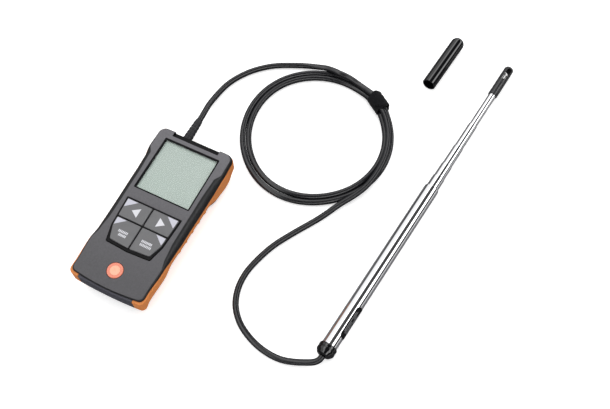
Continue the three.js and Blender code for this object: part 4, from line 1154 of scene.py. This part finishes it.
def make_marks():
    """An arrow on each upper key, two rows of strokes on each lower key, and a pale corner on each."""
    printed("arrow_left", [(-14.1, -8.8), (-8.1, -12.8), (-8.1, -4.8)], "left_key")
    printed("arrow_right", [(14.5, -8.8), (8.5, -4.8), (8.5, -12.8)], "right_key")
    for node_name, body, column, row in KEYS:
        outline = shrunk(key_outline(column, row), 0.5)
        x = max(abs(p[0]) for p in outline)
        y = max(p[1] for p in outline)
        side = (PAD_TOP_HALF - PAD_SIDE_HALF) / (PAD_TOP_Y - PAD_SIDE_Y)
        down = 6.9 if row == 0 else 6.2
        across = 8.9 if row == 0 else 7.9
        points = [(x - across, y), (x - side * down, y - down), (x, y)]
        if column < 0:
            points = [(-a, b) for a, b in reversed(points)]
        printed(node_name + "_corner", points, body, "print_lavender")
    for name, body, row, x0, x1 in STROKE_ROWS:
        count = round((x1 - x0) / STROKE_PITCH)
        for k in range(count):
            at = x0 + (x1 - x0) * (k + 0.5) / count
            points = rectangle(*STROKE_HALF, at, STROKES_FROM_Y - STROKE_ROW_PITCH * row)
            printed(f"{name}_stroke_{row}_{k + 1}", points, body)


def make_badge():
    """A plain disc with a smaller, lighter one on it."""
    disc = slab(
        "badge_base", lambda inset: circle(0, BADGE_Y, BADGE_RADIUS - inset, 64),
        levels(FACE_Z - 0.8, FACE_Z + 0.1, 0, 0.25),
    )
    dress(disc, "badge_orange", ["badge_disc"])
    inner = slab(
        "badge_centre", lambda inset: circle(0, BADGE_Y, BADGE_RADIUS * BADGE_CENTRE_SHARE - inset, 64),
        levels(FACE_Z, FACE_Z + 0.2, 0, 0.1),
    )
    dress(inner, "badge_amber")


# --- cells


def make_cell(index):
    r, end = CELL_RADIUS, CELL_LENGTH
    profile = [
        (0, 0), (r - 1, 0, 0.3), (r, 0.6, 0.4), (r, end - 1.9, 0.4), (r - 1, end - 1.2, 0.3),
        (2.7, end - 1.2), (2.7, end, 0.4), (0, end),
    ]
    place = Matrix.Translation(((index - 1) * CELL_PITCH, CELL_LOW_Y, CELL_Z))
    if index == 1:
        place = place @ Matrix.Translation((0, end, 0)) @ Matrix.Rotation(pi, 4, "Z")
    cell = turned(f"cell_{index + 1}", rounded_profile(profile), place, 48)
    return dress(cell, "cell_sleeve", [f"battery_{index + 1}"])


# --- probe


def probe_place():
    tilt = asin((COLLAR_RADIUS - HANDLE_RADIUS) / (HANDLE_MOUTH - COLLAR_LENGTH + 1.2))
    at = Matrix.Translation((*PROBE_END, COLLAR_RADIUS + COLLAR_LENGTH * sin(tilt)))
    return at @ Matrix.Rotation(radians(-PROBE_HEADING), 4, "Z") @ Matrix.Rotation(-tilt, 4, "X")


PROBE = probe_place()


def tube_profile(radius, wall, y0, y1, next_radius):
    """A tube whose mouth is rolled in towards the next section."""
    inner = radius - wall
    lip = next_radius + LIP_CLEARANCE
    outside = [(inner, y0), (radius, y0), (radius, y1 - 0.7)]
    drop = radius - lip
    for k in range(1, 6):
        a = pi / 2 * k / 6
        outside.append((lip + drop * (0.25 + 0.75 * cos(a)), y1 - 0.7 + 0.7 * sin(a)))
    return outside + [(lip, y1), (lip, y1 - LIP_LENGTH), (inner, y1 - LIP_LENGTH - 0.4)]


def make_handle():
    inner = HANDLE_RADIUS - HANDLE_WALL - 0.15
    collar = HANDLE_RADIUS + 0.15
    profile = [
        (0, 0), (2.7, 0, 0.3), (4.2, 0.3, 0.2), (5.4, 1.1, 0.1), (COLLAR_RADIUS, 3.4, 0.25),
        (COLLAR_RADIUS, 5.2, 0.1), (COLLAR_RADIUS - 0.35, 5.5, 0.1), (COLLAR_RADIUS - 0.35, 6, 0.1),
        (COLLAR_RADIUS, 6.3, 0.1), (COLLAR_RADIUS, COLLAR_LENGTH - 0.8, 0.4),
        (COLLAR_RADIUS - 0.6, COLLAR_LENGTH, 0.2), (collar, COLLAR_LENGTH), (collar, 4), (inner, 4),
        (inner, COLLAR_LENGTH + 4), (0, COLLAR_LENGTH + 4),
    ]
    end = turned("probe_collar", rounded_profile(profile, 3), PROBE)
    dress(end, "gloss_black", ["probe_end_cap"], sharp=25)
    profile = tube_profile(HANDLE_RADIUS, HANDLE_WALL, 4.3, HANDLE_MOUTH, SECTION_RADII[0])
    tube = turned("probe_handle", profile, PROBE, ring=True)
    dress(tube, "chrome", ["handle_tube"])


def curved_patch(name, turn, half_angle, y0, y1, r0, r1, corner_radius):
    """A patch on the handle with rounded corners, `turn` degrees from the top."""
    rows = 24
    columns = 16
    middle = (r0 + r1) / 2
    rings = []
    for i in range(rows + 1):
        y = y0 + (y1 - y0) * (0.5 - 0.5 * cos(pi * i / rows))
        near = min(y - y0, y1 - y, corner_radius)
        cut = corner_radius - sqrt(max(corner_radius ** 2 - (corner_radius - near) ** 2, 0))
        half = radians(half_angle) - cut / middle
        start = radians(turn)
        ring = []
        for r, order in ((r1, range(columns + 1)), (r0, range(columns, -1, -1))):
            for k in order:
                a = start - half + 2 * half * k / columns
                ring.append(PROBE @ Vector((r * sin(a), y, r * cos(a))))
        rings.append(ring)
    return skin(name, rings)


def make_label():
    r0, r1 = HANDLE_RADIUS + 0.1, HANDLE_RADIUS + 0.28
    label = curved_patch("handle_label", LABEL_TURN, LABEL_SPREAD / 2, LABEL_LOW, LABEL_HIGH, r0, r1, 3)
    dress(label, "label_black", ["rating_label"])
    for i, (turn, y0, y1) in enumerate(LABEL_BARS):
        bar = curved_patch(f"label_bar_{i + 1}", LABEL_TURN + turn, 1.9, y0, y1, r1 - 0.02, r1 + 0.02, 0.25)
        dress(bar, "print_soft")


def make_sections():
    mouth = HANDLE_MOUTH
    outer_inner = HANDLE_RADIUS - HANDLE_WALL
    for index, radius in enumerate(SECTION_RADII):
        number = index + 1
        body = f"telescope_section_{number}"
        front = mouth + PROTRUSIONS[index]
        back = front - (FIRST_SECTION_LENGTH - index * (BUSH_LENGTH + GAP + LIP_CLEARANCE))
        inner = radius - SECTION_WALL
        if number == len(SECTION_RADII):
            tip = front - GAP
            profile = [(inner, back), (radius, back), (radius, tip - 0.1)]
            profile += [(radius - 0.1, tip), (inner, tip)]
        else:
            profile = tube_profile(radius, SECTION_WALL, back, front, SECTION_RADII[number])
        tube = turned(f"tube_{number}", profile, PROBE, ring=True)
        dress(tube, "chrome", [f"section_{number}"], body)
        outer = outer_inner - BUSH_CLEARANCE
        hole = inner - BUSH_THICKNESS
        y = back - GAP
        ring = [
            (hole, y - BUSH_LENGTH), (outer - 0.15, y - BUSH_LENGTH), (outer, y - BUSH_LENGTH + 0.15),
            (outer, y - 0.15), (outer - 0.15, y), (hole, y),
        ]
        bush = turned(f"bush_{number}", ring, PROBE, ring=True)
        dress(bush, "brass", [f"slide_bush_{number}"], body)
        outer_inner = inner
        mouth = front
    return mouth


def make_head(start):
    """The closed sleeve at the end of the probe, with a slot right through it and a domed tip."""
    r = HEAD_RADIUS
    end = start + HEAD_LENGTH
    profile = [(0, start), (r - 0.4, start, 0.15), (r, start + 0.5, 0.3)]
    groove = [(r, 1.6), (r - 0.2, 1.8), (r - 0.2, 2.3), (r, 2.5)]
    profile += [(radius, start + y, 0.1) for radius, y in groove]
    profile += [(r, end - HEAD_DOME), *dome(r, end - HEAD_DOME, HEAD_DOME, 10)]
    sleeve = turned("probe_head", rounded_profile(profile, 3), PROBE)
    half = SLOT_WIDTH / 2
    low, high = start + SLOT_LOW, start + SLOT_HIGH
    slot = [(-half, low), (half, low)]
    slot += [(half * cos(a), high - half + half * sin(a)) for a in (pi * k / 14 for k in range(15))]
    turn = PROBE @ Matrix.Rotation(radians(SLOT_TURN), 4, "Y")
    cutter = skin("tool", [[turn @ Vector((x, y, z)) for x, y in slot] for z in (-20, 20)])
    dress(combine(sleeve, [cutter]), "head_black", ["sensor_head"], "telescope_section_5")
    for name, stands_for, offset, radius, length in (
        ("flow_element", "flow_sensor", -0.9, 0.7, 8.5),
        ("temperature_element", "temperature_sensor", 0.9, 0.55, 7),
    ):
        foot = low + GAP
        top = foot + length
        stem = radius * 0.6
        bead = [(0, foot), (stem, foot), (stem, top - 3 * radius), (radius, top - 2 * radius)]
        bead += [
            (radius * cos(a), top - radius + radius * sin(a))
            for a in (pi / 2 * k / 6 for k in range(6))
        ]
        place = turn @ Matrix.Translation((offset, 0, 0))
        element = turned(name, [*bead, (0, top)], place, 24)
        dress(element, "ceramic_white", [stands_for], "telescope_section_5")


def make_cap():
    r, base = CAP_RADIUS, CAP_LENGTH - CAP_DOME
    profile = [(CAP_BORE, 0), (CAP_BORE + 0.1, 0), (r - 0.25, 0), (r, 0.3), (r, base)]
    profile += dome(r, base, CAP_DOME, 14)
    profile += [(0, CAP_BORE_DEPTH), (CAP_BORE - 1, CAP_BORE_DEPTH), (CAP_BORE, CAP_BORE_DEPTH - 1)]
    place = Matrix.Translation((*CAP_OPEN_END, CAP_RADIUS)) @ Matrix.Rotation(radians(-CAP_HEADING), 4, "Z")
    cap = turned("tip_cap", profile, place, ring=True)
    dress(cap, "gloss_black", ["protective_cap"], "loose_cap")


# --- the scene

make_camera()
LOOKS = make_looks()
cable, cable_length = make_cable()
tie = make_tie()
boot = make_boot()
make_world()
make_floor()
bpy.context.scene.view_settings.view_transform = "Standard"

make_front_shell()
make_rear_shell()
make_grip("grip_left", -1, "side_grip_left")
make_grip("grip_right", 1, "side_grip_right")
make_battery_cover()
make_top_panel()
for number, (x, y, head) in enumerate(SCREWS, 1):
    make_screw(number, x, y, head)
make_display()
make_keypad()
make_marks()
make_badge()
for number in range(3):
    make_cell(number)
make_handle()
make_label()
make_head(make_sections())
make_cap()

# The inner pieces that stay as the frame has them.
CARRIED = {
    "lcd_glass": ["lcd_module"],
    "board_green": ["main_board"],
    "spring_steel": [
        "battery_contacts_low", "battery_contacts_high",
        "dome_left", "dome_right", "dome_mode", "dome_menu",
    ],
}
for look, node_names in CARRIED.items():
    for node_name in node_names:
        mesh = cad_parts[node_name].data
        mesh.materials.clear()
        mesh.materials.append(LOOKS[look])
